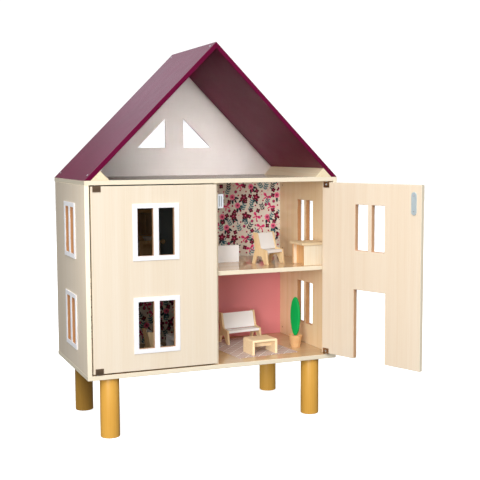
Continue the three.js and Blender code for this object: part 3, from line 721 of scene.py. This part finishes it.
def woven_mat(across=80, along=112, top=0.00095, under=0.00008):
    """
    Height over the mat: top minus 0.1 mm of slow waves, falling to half thickness at the hem. A
    row of points goes over the top and back underneath, so each row is closed.
    """
    s = np.linspace(-0.5, 0.5, across) * RUG_SIZE[0]
    across_row = np.concatenate([s, s[::-1]])
    v = np.linspace(-0.5, 0.5, along)[:, None] * RUG_SIZE[1]
    hem = np.minimum(RUG_SIZE[0] / 2 - np.abs(s), RUG_SIZE[1] / 2 - np.abs(v))
    waves = (1 + np.sin(s * 90 + 1) * np.sin(v * 70)) / 2
    rise = top - RUG_WAVE * waves - RUG_HEM_DROP * np.exp(-hem / RUG_HEM)
    height = np.concatenate([rise, np.full_like(rise, under)], 1)
    x = rug_middle[0] + across_row * math.cos(RUG_TURN) - v * math.sin(RUG_TURN)
    y = rug_middle[1] + across_row * math.sin(RUG_TURN) + v * math.cos(RUG_TURN)
    points = np.stack([x, y, rug_low[2] + height], -1).reshape(-1, 3)
    uv = np.stack(np.broadcast_arrays(across_row, v), -1)
    return points, closed_faces(along, 2 * across), uv.reshape(-1, 2)


def rug_weave():
    """Two sets of slanting lines give the lattice; sines across both threads give the weave."""
    material, tree, shader = new_finish("lattice_rug", 0.85, Sheen_Weight=0.3, Sheen_Roughness=0.5)
    flat = node(tree, "SeparateXYZ", {0: node(tree, "UVMap", uv_map="mat").outputs[0]}).outputs
    wobble = stretch(tree, noise(tree, place_of(tree), 160.0, 2.0), 0, 1, -0.0006, 0.0006)
    lines = []
    for sign in ("ADD", "SUBTRACT"):
        slant = sums(tree, "ADD", sums(tree, sign, flat[0], flat[1]), wobble)
        part = sums(tree, "FRACT", sums(tree, "DIVIDE", slant, RUG_LATTICE))
        lines.append(sums(tree, "ABSOLUTE", sums(tree, "SUBTRACT", part, 0.5)))
    nearest = sums(tree, "MINIMUM", lines[0], lines[1])
    lattice = stretch(tree, nearest, 0.03, 0.06, 1.0, 0.0)
    beside = stretch(tree, nearest, 0.08, 0.14, 1.0, 0.0)
    per_thread = 2 * math.pi / RUG_THREAD
    threads = [sums(tree, "SINE", sums(tree, "MULTIPLY", flat[i], per_thread)) for i in (0, 1)]
    weave = stretch(tree, sums(tree, "MULTIPLY", threads[0], threads[1]), -1, 1, 0.0, 1.0)
    fluff = noise(tree, place_of(tree), 240.0)
    ground = blend(tree, fluff, paint(206, 178, 166), paint(190, 160, 148))
    colour = blend(tree, sums(tree, "MULTIPLY", beside, 0.7), ground, paint(150, 112, 100))
    colour = blend(tree, lattice, colour, paint(250, 243, 236))
    colour = blend(tree, sums(tree, "MULTIPLY", weave, 0.16), colour, paint(150, 120, 108))
    tree.links.new(colour, shader.inputs["Base Color"])
    tree.links.new(stretch(tree, weave, 0, 1, 0.78, 0.92), shader.inputs["Roughness"])
    emboss(tree, shader, weave, 0.00012)
    return material


mat_points, mat_faces, mat_uv = woven_mat()
rug = new_piece("woven_rug", mat_points, mat_faces, rug_weave(), "house", "rug_cloth")
corner_points = np.empty(len(rug.data.loops), dtype=np.int32)
rug.data.loops.foreach_get("vertex_index", corner_points)
rug.data.uv_layers.new(name="mat").data.foreach_set("uv", mat_uv[corner_points].ravel())
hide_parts("rug")

# %% [markdown]
# ## Flowered paper
# Two rooms are papered with a small print: dark five-petalled flowers, round pink ones, bows,
# leaves, sprigs and dots on sand. A print has no thickness, and it could be drawn by a material.
# Each shape has its own place, though, and a table of ovals says that more plainly than a graph of
# nodes. So every petal is a thin closed oval, about a tenth of a millimetre thick, laid on the wall
# like a film of ink. This cell lists the inks and the motifs, each motif a short table of ovals.

# %% Inks and ovals
INKS = {
    "wine": paint(104, 2, 42), "cherry": paint(186, 22, 80), "rose": paint(250, 126, 164),
    "blush": paint(236, 78, 136), "petrol": paint(10, 42, 58), "mist": paint(72, 124, 134),
    "sea": paint(44, 96, 108), "shell": paint(238, 160, 170),
}
INK_NAMES = list(INKS)
FLIGHT = 14  # points round an oval


def oval(x, z, half_long, half_wide, turn, ink, layer, tip=0.0):
    """One row of a motif's table: millimetres, degrees, ink number, layer, and how pointed."""
    return [x, z, half_long, half_wide, turn, INK_NAMES.index(ink), layer, tip]


def ring_of(count, away, half_long, half_wide, ink, layer, first=90.0, tip=0.0):
    """Ovals set round a centre like petals, each pointing outwards."""
    petals = []
    for turn in (first + 360 * k / count for k in range(count)):
        x, z = away * math.cos(math.radians(turn)), away * math.sin(math.radians(turn))
        petals.append(oval(x, z, half_long, half_wide, turn, ink, layer, tip))
    return petals


def leaf_pairs(stem, heights, away, half_long, half_wide, lean, ink, tip):
    """Stem and leaves of a sprig: a leaf on each side at each height, leaning out by `lean`."""
    leaves = [
        oval(side * away, z, half_long, half_wide, 90 - side * lean, ink, 1, tip)
        for z in heights for side in (-1, 1)
    ]
    return [stem] + leaves


MOTIFS = {
    "dark_flower": ring_of(5, 6.0, 4.6, 3.5, "wine", 1)
    + ring_of(5, 2.6, 1.9, 0.8, "cherry", 2) + [
        oval(0, 0, 1.7, 1.7, 0, "blush", 3),
        oval(5.5, -11, 6.6, 3.0, -52, "petrol", 0, 0.45),
        oval(-3, -12.5, 6.6, 3.0, -104, "petrol", 0, 0.45),
    ],
    "round_flower": ring_of(7, 4.6, 3.4, 2.7, "rose", 1)
    + ring_of(7, 4.3, 2.0, 0.5, "blush", 2, 116) + [
        oval(0, 0, 3.4, 3.4, 0, "blush", 2),
        oval(0, 0, 2.0, 2.0, 0, "wine", 3),
        oval(-7, -10.5, 6.4, 2.9, -122, "petrol", 0, 0.45),
        oval(0.5, -13, 6.4, 2.9, -88, "petrol", 0, 0.45),
        oval(8, -9.5, 6.4, 2.9, -50, "petrol", 0, 0.45),
    ],
    "bow": [
        oval(-6.4, 2.8, 6.0, 3.6, 158, "blush", 1, -0.35),
        oval(6.4, 2.4, 6.0, 3.6, 22, "blush", 1, -0.35),
        oval(-3.6, -5.0, 5.8, 1.7, -122, "blush", 0),
        oval(4.0, -5.0, 5.8, 1.7, -54, "blush", 0),
        oval(-5.8, 2.7, 2.9, 1.0, 158, "cherry", 2),
        oval(5.8, 2.3, 2.9, 1.0, 22, "cherry", 2),
        oval(0, 0.4, 1.7, 1.6, 0, "cherry", 3),
    ],
    "four_petals": ring_of(4, 3.3, 3.1, 2.8, "wine", 1, 45) + [oval(0, 0, 1.2, 1.2, 0, "blush", 2)],
    "small_round": [
        oval(0, 0, 4.0, 4.0, 0, "wine", 1),
        oval(0, 0, 2.6, 2.6, 0, "blush", 2),
        oval(0, 0, 1.3, 1.3, 0, "wine", 3),
    ],
    "sprig": leaf_pairs(
        oval(0, 0, 10, 0.35, 90, "sea", 0), (-7, -1.5, 4), 3.5, 4.1, 1.6, 50, "mist", 0.5,
    ) + [oval(0, 10.5, 3.6, 1.35, 90, "mist", 1, 0.5)],
    "dark_sprig": leaf_pairs(
        oval(0, 0, 8, 0.4, 90, "petrol", 0), (-6, 0, 6), 3.6, 4.2, 1.6, 42, "petrol", 0.45,
    ),
    "dot": [oval(0, 0, 2.3, 2.3, 0, "cherry", 1), oval(0, 0, 1.0, 1.0, 0, "wine", 2)],
    "pale_dots": [
        oval(0, 0, 1.7, 1.7, 0, "shell", 1),
        oval(6, 3.4, 1.4, 1.4, 0, "shell", 1),
        oval(-3, 6, 1.3, 1.3, 0, "shell", 1),
    ],
}
MOTIFS = {name: np.array(rows) for name, rows in MOTIFS.items()}
print({name: len(rows) for name, rows in MOTIFS.items()})

# %% [markdown]
# ## The print's layout
# A printed jumble has no rows that the eye can find. It is worked out from a staggered lattice:
# large motifs on the lattice, small ones in its gaps, and each pushed off its place and tilted by a
# seeded random step. Then every oval becomes a thin prism, and its ink goes into a colour attribute
# that one finish reads. Ovals that would run over a room's corner are left out.

# %% Scatter of motifs
LARGE = [
    "dark_flower", "round_flower", "bow", "sprig",
    "round_flower", "dark_sprig", "dark_flower", "bow",
]
SMALL = ["four_petals", "dot", "small_round", "pale_dots", "sprig", "dot", "four_petals", "dot"]
PITCH, ROW_PITCH = 31.5, 26.5
FIRST_PLACE = (-6, -4)
GAPS = ((0.5, 0.05), (0.18, 0.5), (0.62, 0.52))  # shares of the pitches
LARGE_PUSH, SMALL_PUSH, TILT = 4.0, 2.2, 38
EDGE_MARGIN = 0.3


def placed(motif, x, z, turn):
    """A motif's table, turned by `turn` radians and moved to (x, z)."""
    rows = MOTIFS[motif].copy()
    u, w = MOTIFS[motif][:, 0], MOTIFS[motif][:, 1]
    rows[:, 0] = x + u * math.cos(turn) - w * math.sin(turn)
    rows[:, 1] = z + u * math.sin(turn) + w * math.cos(turn)
    rows[:, 4] += math.degrees(turn)
    return rows


def scatter(width, height, seed):
    """
    Motif (2 column + 3 row) of the large list stands at each place of the lattice, and three small
    ones stand in the gaps. All rows of all motifs come back as one table, in millimetres.
    """
    dice = np.random.default_rng(seed)
    columns, rows = int(width / PITCH) + 2, int(height / ROW_PITCH) + 2
    tables = []
    for row in range(rows):
        for column in range(columns):
            x = (column + 0.5 * (row % 2)) * PITCH + FIRST_PLACE[0]
            z = row * ROW_PITCH + FIRST_PLACE[1]
            spots = [(LARGE[(column * 2 + row * 3) % len(LARGE)], x, z, LARGE_PUSH)]
            for part, (dx, dz) in enumerate(GAPS):
                small = SMALL[(column * 3 + row + part * 5) % len(SMALL)]
                spots.append((small, x + dx * PITCH, z + dz * ROW_PITCH, SMALL_PUSH))
            for motif, cx, cz, push in spots:
                shift = dice.uniform(-push, push, 2)
                turn = math.radians(dice.uniform(-TILT, TILT))
                tables.append(placed(motif, cx + shift[0], cz + shift[1], turn))
    table = np.concatenate(tables)
    reach = np.maximum(table[:, 2], table[:, 3]) + EDGE_MARGIN
    inside = (table[:, 0] > reach) & (table[:, 0] < width - reach)
    inside &= (table[:, 1] > reach) & (table[:, 1] < height - reach)
    return table[inside]


FILM_BACK, FILM_FRONT, FILM_LAYER = 0.01, 0.07, 0.05  # millimetres off the wall


def printed(table, left, bottom, wall_y):
    """
    Ovals (a cos t, b sin t), where b shrinks towards the tip by 1 - p cos t, turned and moved.
    Each becomes a prism: its outline in front, the same outline behind, and sides between.
    """
    t = np.arange(FLIGHT) / FLIGHT * 2 * np.pi
    x, z, half_long, half_wide, turn, ink, layer, tip = table.T[:, :, None]
    along = half_long * np.cos(t)
    aside = half_wide * np.sin(t) * (1 - tip * np.cos(t))
    turn = np.radians(turn)
    px = left + (x + along * np.cos(turn) - aside * np.sin(turn)) * MM
    pz = bottom + (z + along * np.sin(turn) + aside * np.cos(turn)) * MM
    behind = np.full_like(px, wall_y - FILM_BACK * MM)
    proud = np.broadcast_to(wall_y - (FILM_FRONT + FILM_LAYER * layer) * MM, px.shape)
    back, front = np.stack([px, behind, pz], -1), np.stack([px, proud, pz], -1)
    points = np.stack([back, front], 1).reshape(-1, 3)
    step = (np.arange(len(table)) * 2 * FLIGHT)[:, None]
    around = np.arange(FLIGHT)
    fronts = (step + FLIGHT + around).tolist()
    backs = (step + around[::-1]).tolist()
    after = (around + 1) % FLIGHT
    sides = np.stack([around, after, after + FLIGHT, around + FLIGHT], -1)
    sides = (step[:, :, None] + sides).reshape(-1, 4).tolist()
    colours = np.array([INKS[name] for name in INK_NAMES])[ink.ravel().astype(int)]
    return points, fronts + backs + sides, np.repeat(colours, 2 * FLIGHT, 0)


def ink_finish():
    """Ink colour from the piece's own attribute, broken up a little as a printed film is."""
    material, tree, shader = new_finish("flower_inks", 0.6, Specular_IOR_Level=0.2)
    ink = node(tree, "Attribute", attribute_name="ink").outputs["Color"]
    grain = noise(tree, place_of(tree), 1400.0, 3.0)
    worn = stretch(tree, grain, 0.35, 0.75, 0.0, 0.05)
    tree.links.new(blend(tree, worn, ink, paint(224, 212, 192)), shader.inputs["Base Color"])
    tree.links.new(stretch(tree, grain, 0.3, 0.7, 0.42, 0.58), shader.inputs["Roughness"])
    return material


flower_inks = ink_finish()
SHELF_UNDERSIDE = corners("left_shelf")[0][2]
PAPERED = {  # wall on the right, wall on the left, bottom, top, seed
    "upper_right_print": ("right_side_panel", "divider_panel", FLOOR_ABOVE, CEILING, 7),
    "lower_left_print": ("divider_panel", "left_side_panel", FLOOR_BELOW, SHELF_UNDERSIDE, 11),
}
for print_name, (right_wall, left_wall, bottom, top, seed) in PAPERED.items():
    left, right_end = corners(left_wall)[1][0], corners(right_wall)[0][0]
    motif_table = scatter((right_end - left) / MM, (top - bottom) / MM, seed)
    *film_shape, film_inks = printed(motif_table, left, bottom, BACK_FACE)
    film = new_piece(print_name, *film_shape, flower_inks, "house", "papered_board", 20.0)
    ink_layer = film.data.color_attributes.new("ink", "FLOAT_COLOR", "POINT")
    ink_layer.data.foreach_set("color", film_inks.astype(np.float32).ravel())

# %% [markdown]
# ## Screws and plates
# Small fixings tell how the house goes together: cross-head screws through the roof boards, a
# screw in each hinge clip, two in each strike plate and one in each catch. One function makes a
# domed head with a cross sunk into it, and turns it to face any way. Screws on one body are one
# piece.

# %% Screw heads
CROSS_ARM, CROSS_REACH, CROSS_DEPTH = 0.14, 0.62, 0.5  # shares of the radius, and millimetres
HEAD_RIM, HEAD_SUNK = 0.15, 0.3


def screw_head(place, facing, radius=2.6, dome=0.7, rings=7, steps=32):
    """
    Height over the head: dome times 1 - (r / R) squared, less the recess where the point is in
    one arm of the cross. `facing` is the direction out of the surface.
    """
    outward = np.array(facing, float) / np.linalg.norm(facing)
    seed_axis = np.array([0.0, 0.0, 1.0]) if abs(outward[2]) < 0.9 else np.array([1.0, 0.0, 0.0])
    across = np.cross(seed_axis, outward)
    across /= np.linalg.norm(across)
    upward = np.cross(outward, across)
    share = np.concatenate([[1.0, 1.0], np.linspace(0.94, 0.08, rings)])[:, None]
    t = np.arange(steps) / steps * 2 * np.pi
    u, w = share * np.cos(t), share * np.sin(t)
    height = dome * (1 - share**2) + HEAD_RIM
    in_cross = np.minimum(np.abs(u), np.abs(w)) < CROSS_ARM
    in_cross &= np.maximum(np.abs(u), np.abs(w)) < CROSS_REACH
    height = np.where(in_cross, height - CROSS_DEPTH, height)
    height[0] = -HEAD_SUNK
    points = np.array(place) + (u[..., None] * across + w[..., None] * upward) * radius * MM
    points = points + height[..., None] * outward * MM
    return points.reshape(-1, 3), closed_faces(len(share), steps)


def turned_open(place):
    """A place on the closed right door, carried to where that door stands open."""
    x, y = place[0] - RIGHT_PIVOT[0], place[1] - RIGHT_PIVOT[1]
    c, s = math.cos(RIGHT_OPEN), math.sin(RIGHT_OPEN)
    return (RIGHT_PIVOT[0] + c * x - s * y, RIGHT_PIVOT[1] + s * x + c * y, place[2])


screw_steel = rolled_metal("screw_steel", paint(226, 229, 231), paint(196, 200, 204), 0.26, "z")
roof_low, roof_high = corners("left_roof_panel")
right_roof_low, right_roof_high = corners("right_roof_panel")
ROOF_END, ROOF_FOOT, ROOF_RIDGE = 0.018, 0.011, 0.0085  # screws from the ends of the roof boards
roof_screws = []
for y in (roof_low[1] + ROOF_END, roof_high[1] - ROOF_END):
    for up in (ROOF_FOOT, roof_high[2] - roof_low[2] - ROOF_RIDGE):
        roof_screws.append(screw_head((roof_low[0] + up, y, roof_low[2] + up), (-1, 0, 1)))
    right_foot = (right_roof_high[0] - ROOF_FOOT, y, right_roof_low[2] + ROOF_FOOT)
    roof_screws.append(screw_head(right_foot, (1, 0, 1)))
new_piece("roof_screws", *several(roof_screws), screw_steel, "house", "zinc_steel")

STRIKE_END, STRIKE_PROUD = 0.008, 0.0003
CLIP_HEAD, STRIKE_HEAD = (3.2, 0.6), (2.6, 0.3)  # radius and dome
clip_low, clip_high = corners("left_door_upper_hinge_clip")
strike_low, strike_high = corners("left_door_strike_plate")
door_places = []  # places on the left door, with the size of the head
for clip_name in ("left_door_upper_hinge_clip", "left_door_lower_hinge_clip"):
    z = sum(corner[2] for corner in corners(clip_name)) / 2
    door_places.append((((clip_low[0] + clip_high[0]) / 2, clip_high[1], z), CLIP_HEAD))
for z in (strike_low[2] + STRIKE_END, strike_high[2] - STRIKE_END):
    place = ((strike_low[0] + strike_high[0]) / 2, strike_high[1] - STRIKE_PROUD, z)
    door_places.append((place, STRIKE_HEAD))
left_screws = [screw_head(place, (0, 1, 0), *size) for place, size in door_places]
new_piece("left_door_screws", *several(left_screws), screw_steel, "left_door", "zinc_steel")

inward = (-math.sin(RIGHT_OPEN), math.cos(RIGHT_OPEN), 0)
right_screws = [
    screw_head(turned_open((2 * middle_x - x, y, z)), inward, *size)
    for (x, y, z), size in door_places
]
new_piece("right_door_screws", *several(right_screws), screw_steel, "right_door", "zinc_steel")

# %% [markdown]
# ## Catches and wall fixings
# A magnetic catch shows two steel strips in its white face, with the magnet between them. Its screw
# sits in its side. On the side walls, near the back, the heads of the dowel fasteners show in the
# corners of the rooms. A strip is a thin plate with round corners: one outline, drawn twice and
# joined.

# %% Rounded plates, catch strips and dowel heads
def rounded_plate(width, height, thick, corner, around=40):
    """
    Outline |x / a| to the power n plus |z / b| to the power n = 1, so a = half width and b = half
    height, with n large where the corners are tight. Its rims are broken by a short chamfer.
    """
    t = (np.arange(around) + 0.5) / around * 2 * np.pi
    power = 2 / corner
    x = np.sign(np.cos(t)) * np.abs(np.cos(t)) ** power * width / 2
    z = np.sign(np.sin(t)) * np.abs(np.sin(t)) ** power * height / 2
    chamfer = min(0.12 * thick, 0.0004)
    inset = np.array([chamfer, 0, 0, chamfer])[:, None]
    half = thick / 2
    y = np.repeat(np.array([[half], [half - chamfer], [chamfer - half], [-half]]), around, 1)
    points = np.stack([x * (1 - inset * 2 / width), y, z * (1 - inset * 2 / height)], -1)
    return points.reshape(-1, 3), closed_faces(4, around)


def moved(shape, place):
    """A shape put at `place`."""
    points, faces = shape
    return points + np.array(place), faces


STRIP_WIDTH, STRIP_SHARE, STRIP_THICK, STRIP_SUNK = 0.0018, 0.78, 0.003, 0.00132
strips, catch_screws = [], []
for side in ("left", "right"):
    catch_low, catch_high = corners(side + "_magnetic_catch")
    catch_middle = (catch_low + catch_high) / 2
    catch_width, _, catch_tall = catch_high - catch_low
    for share in (0.3, 0.62):
        plate = rounded_plate(STRIP_WIDTH, STRIP_SHARE * catch_tall, STRIP_THICK, 6)
        x = catch_low[0] + share * catch_width
        strips.append(moved(plate, (x, catch_low[1] + STRIP_SUNK, catch_middle[2])))
    outer, outward = (catch_low[0], -1) if side == "left" else (catch_high[0], 1)
    catch_side = (outer, catch_middle[1], catch_middle[2])
    catch_screws.append(screw_head(catch_side, (outward, 0, 0), 2.4, 0.5))
pole_steel = rolled_metal("pole_steel", paint(128, 138, 146), paint(104, 114, 124), 0.36, "z")
new_piece("catch_strips", *several(strips), pole_steel, "house", "zinc_steel")
new_piece("catch_screws", *several(catch_screws), screw_steel, "house", "zinc_steel")

DOWEL_EDGE, DOWEL_FRONT = 0.018, 0.014  # from the boards above and below, and from the back
dowel_levels = (
    FLOOR_BELOW + DOWEL_EDGE, SHELF_UNDERSIDE - DOWEL_EDGE,
    FLOOR_ABOVE + DOWEL_EDGE, CEILING - DOWEL_EDGE,
)
dowel_heads = []
for wall, face, outward in (("left_side_panel", 1, 1), ("right_side_panel", 0, -1)):
    wall_x = corners(wall)[face][0]
    for z in dowel_levels:
        dowel_place = (wall_x, BACK_FACE - DOWEL_FRONT, z)
        dowel_heads.append(screw_head(dowel_place, (outward, 0, 0), 2.4, 0.3))
new_piece("dowel_heads", *several(dowel_heads), bronze, "house", "bronze_steel")

# %% [markdown]
# ## The rooms behind the closed door
# Through the dark panes a washstand with a mirror, a peg on the slate wall, a white table and a
# dining chair can be made out. The mirror is a thin plate of silvered glass in the washstand's
# opening, and the basin is a turned bowl on its ledge. The peg is turned upright, then laid down
# to stand out from the wall.

# %% Mirror, basin and peg
mirror_glass = grained(
    "mirror_glass", 1.0, lambda tree: noise(tree, place_of(tree), 60.0, 3.0),
    paint(214, 219, 221), paint(204, 210, 213), (0.03, 0.08),
)
wash_low, wash_high = corners("washstand")
wash_x = (wash_low[0] + wash_high[0]) / 2
MIRROR_SIZE, MIRROR_THICK, MIRROR_HEIGHT, MIRROR_IN = (0.0368, 0.0568), 0.002, 0.093, 0.003
mirror_place = (wash_x, wash_high[1] - MIRROR_IN, wash_low[2] + MIRROR_HEIGHT)
mirror = moved(rounded_plate(*MIRROR_SIZE, MIRROR_THICK, 8), mirror_place)
new_piece("washstand_mirror", *mirror, mirror_glass, "washstand", "zinc_steel")

BASIN_PROFILE = [
    (6.5, 0), (8.0, 0.2), (11.2, 3.4), (13.4, 8.2), (13.8, 9.0), (13.5, 9.5), (12.9, 9.6),
    (12.3, 9.2), (10.4, 4.6), (7.0, 2.4), (1.2, 1.8),
]
LEDGE_TOP, LEDGE_MIDDLE = 0.054, 0.0165
basin_place = (wash_x, wash_low[1] + LEDGE_MIDDLE, wash_low[2] + LEDGE_TOP)
basin = turned(BASIN_PROFILE, basin_place)
new_piece("washstand_basin", *basin, white_paint, "washstand", "white_paint")

PEG_PROFILE = [
    (4.0, 0), (4.2, 0.3), (4.2, 9.0), (5.6, 10.2), (6.0, 11.6), (5.6, 13.0), (4.4, 13.8),
    (1.0, 14.0),
]
PEG_ASIDE, PEG_HEIGHT = 0.0315, 0.047  # from the divider, and above the upper floor
peg_points, peg_faces = turned(PEG_PROFILE, (0, 0, 0), 48)
peg_place = np.array([
    corners("divider_panel")[0][0] - PEG_ASIDE, BACK_FACE, FLOOR_ABOVE + PEG_HEIGHT,
])
peg_points = np.stack([peg_points[:, 0], -peg_points[:, 2], peg_points[:, 1]], -1) + peg_place
new_piece("wall_peg", peg_points, peg_faces, maple_up, "house", "bare_maple")

# %% [markdown]
# ## The dining chair
# The chair at the white table is the same model as the armchair upstairs. A node's mesh has its
# points split along every edge, so a copy is welded first: equal points are found by rounding, and
# triangles that lose their area are dropped. Then the copy is turned about the chair's middle and
# set down by the table.

# %% Dining chair
CHAIR_FACES, TABLE_CHAIR_FACES = math.radians(22), math.radians(86)
TABLE_GAP, TABLE_ASIDE = 0.036, 0.016
CHAIR_PARTS = {  # nodes to copy, finish, slot
    "wood": (("chair_left_side", "chair_right_side"), maple_up, "bare_maple"),
    "white": (("chair_back", "chair_seat"), white_paint, "white_paint"),
}
chair_boxes = [corners(name) for names, _, _ in CHAIR_PARTS.values() for name in names]
chair_low = np.min([box[0] for box in chair_boxes], 0)
chair_high = np.max([box[1] for box in chair_boxes], 0)
chair_middle = (chair_low + chair_high) / 2
table_low, table_high = corners("dining_table")
table_chair_place = np.array([
    table_low[0] - TABLE_GAP, (table_low[1] + table_high[1]) / 2 + TABLE_ASIDE, FLOOR_BELOW,
])


def chair_copy(kind, names, material, slot):
    """Welded copies of nodes, turned about the chair's middle and set down at the table."""
    shapes = []
    for name in names:
        mesh = NODES[name].data
        flat = np.empty(len(mesh.vertices) * 3)
        mesh.vertices.foreach_get("co", flat)
        loose = flat.reshape(-1, 3)
        rounded = np.round(loose, 6)
        _, first, whose = np.unique(rounded, axis=0, return_index=True, return_inverse=True)
        used = np.empty(len(mesh.loops), dtype=np.int32)
        mesh.loops.foreach_get("vertex_index", used)
        triangles = whose.ravel()[used].reshape(-1, 3)
        whole = (triangles[:, 0] != triangles[:, 1]) & (triangles[:, 1] != triangles[:, 2])
        whole &= triangles[:, 0] != triangles[:, 2]
        shapes.append((loose[first], triangles[whole].tolist()))
    points, faces = several(shapes)
    turn = TABLE_CHAIR_FACES - CHAIR_FACES
    x, y = points[:, 0] - chair_middle[0], points[:, 1] - chair_middle[1]
    points = np.stack([
        table_chair_place[0] + x * math.cos(turn) - y * math.sin(turn),
        table_chair_place[1] + x * math.sin(turn) + y * math.cos(turn),
        points[:, 2] - chair_low[2] + table_chair_place[2],
    ], -1)
    return new_piece("table_chair_" + kind, points, faces, material, "house", slot)


for kind, (names, material, slot) in CHAIR_PARTS.items():
    chair_copy(kind, names, material, slot)

# %% [markdown]
# ## What each light reaches
# The low lights at the left front are there for the rooms. A studio keeps such a light off the
# legs behind and off the glossy roof with flags, which are black cards on stands. Cycles has a
# shorter way: a light carries a list of the objects that it lights, or of those it leaves out.
# The key light and the roof sheen have no list and light everything.

# %% Flags for the low lights
ROOM_WALLS = ["right_side_panel", "back_panel", *PAPERED]
ROOM_TOYS = [n for n in NODES if n.startswith(("bench", "daybed", "coffee_table"))]


def reach(lamp, names, state):
    """The lamp lights only these objects (INCLUDE), or all but these (EXCLUDE)."""
    listed = bpy.data.collections.new(lamp.name + "_list")
    for name in names:
        listed.objects.link(bpy.data.objects[name])
    lamp.light_linking.receiver_collection = listed
    for entry in listed.collection_objects:
        entry.light_linking.link_state = state
    print(lamp.name, state.lower() + "s", len(names), "objects")


LEFT_WALL = [n for n in NODES if n.startswith("left_side")]
ROOF = ["left_roof_panel", "right_roof_panel"]
GABLE = ["attic_back_panel"]
reach(lamps["room_light"], ["rear_left_turned_leg", *ROOF, *LEFT_WALL, *GABLE], "EXCLUDE")
reach(lamps["side_fill"], ROOM_WALLS + ROOM_TOYS + ["rear_right_turned_leg"], "INCLUDE")
reach(lamps["front_fill"], ROOM_WALLS + ROOM_TOYS, "INCLUDE")
reach(lamps["gable_glow"], GABLE, "INCLUDE")
reach(lamps["wall_wash"], LEFT_WALL, "INCLUDE")

# %% [markdown]
# ## Cards behind the panes
# The rooms behind the closed door are dim, as they are behind any small window. Two thin grey cards
# just inside the left door take most of the light away there. They are studio gear: the camera
# doesn't see them, and they swing with the door, so the rooms are lit as soon as it opens.

# %% Pane cards
CARD_GAP, CARD_CLEAR = 0.0012, 0.22
card_y = corners("left_door")[1][1] + CARD_GAP
card_points, card_faces = [], []
frame_names = [n for n in NODES if n.startswith("left_door") and n.endswith("window_frame")]
for name in frame_names:
    low, high = corners(name)
    card_faces.append([len(card_points) + i for i in range(4)])
    card_points += [(low[0], card_y, low[2]), (high[0], card_y, low[2])]
    card_points += [(high[0], card_y, high[2]), (low[0], card_y, high[2])]
card_mesh = bpy.data.meshes.new("pane_cards")
card_mesh.from_pydata(card_points, [], card_faces)
card_finish = bpy.data.materials.new("grey_card")
card_finish.use_nodes = True
card_tree = card_finish.node_tree
card_tree.nodes.remove(card_tree.nodes["Principled BSDF"])
letting_through = card_tree.nodes.new("ShaderNodeBsdfTransparent")
letting_through.inputs["Color"].default_value = (CARD_CLEAR, CARD_CLEAR, CARD_CLEAR, 1)
card_tree.links.new(letting_through.outputs[0], card_tree.nodes["Material Output"].inputs[0])
card_mesh.materials.append(card_finish)
cards = bpy.data.objects.new("pane_cards", card_mesh)
bpy.context.scene.collection.objects.link(cards)
for ray_kind in ("camera", "diffuse", "glossy", "transmission"):
    setattr(cards, "visible_" + ray_kind, False)
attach(cards, "left_door")
print("cards behind", frame_names)

# %% [markdown]
# ## The studio floor
# The house stands on a wide white floor. It shines a little by itself, so it stays white up to the
# legs, and neither soft nor mirror light comes back from it onto the house.

# %% Floor of the studio
REACH, FLOOR_SHINE = 8.0, 0.75
plane = bpy.data.meshes.new("studio_floor")
floor_corners = [(-REACH, -REACH, 0), (REACH, -REACH, 0), (REACH, REACH, 0), (-REACH, REACH, 0)]
plane.from_pydata(floor_corners, [], [(0, 1, 2, 3)])
studio_floor = bpy.data.objects.new("studio_floor", plane)
bpy.context.scene.collection.objects.link(studio_floor)
floor_finish, floor_tree, floor_shader = new_finish("studio_white", 0.7)
floor_tone = noise(floor_tree, place_of(floor_tree), 3.0)
floor_colour = blend(floor_tree, floor_tone, (0.93, 0.935, 0.945, 1), (0.92, 0.925, 0.935, 1))
floor_tree.links.new(floor_colour, floor_shader.inputs["Base Color"])
floor_shader.inputs["Emission Color"].default_value = (1, 1, 1, 1)
floor_shader.inputs["Emission Strength"].default_value = FLOOR_SHINE
plane.materials.append(floor_finish)
studio_floor.visible_diffuse = False
studio_floor.visible_glossy = False
print("studio floor", 2 * REACH, "metres across")
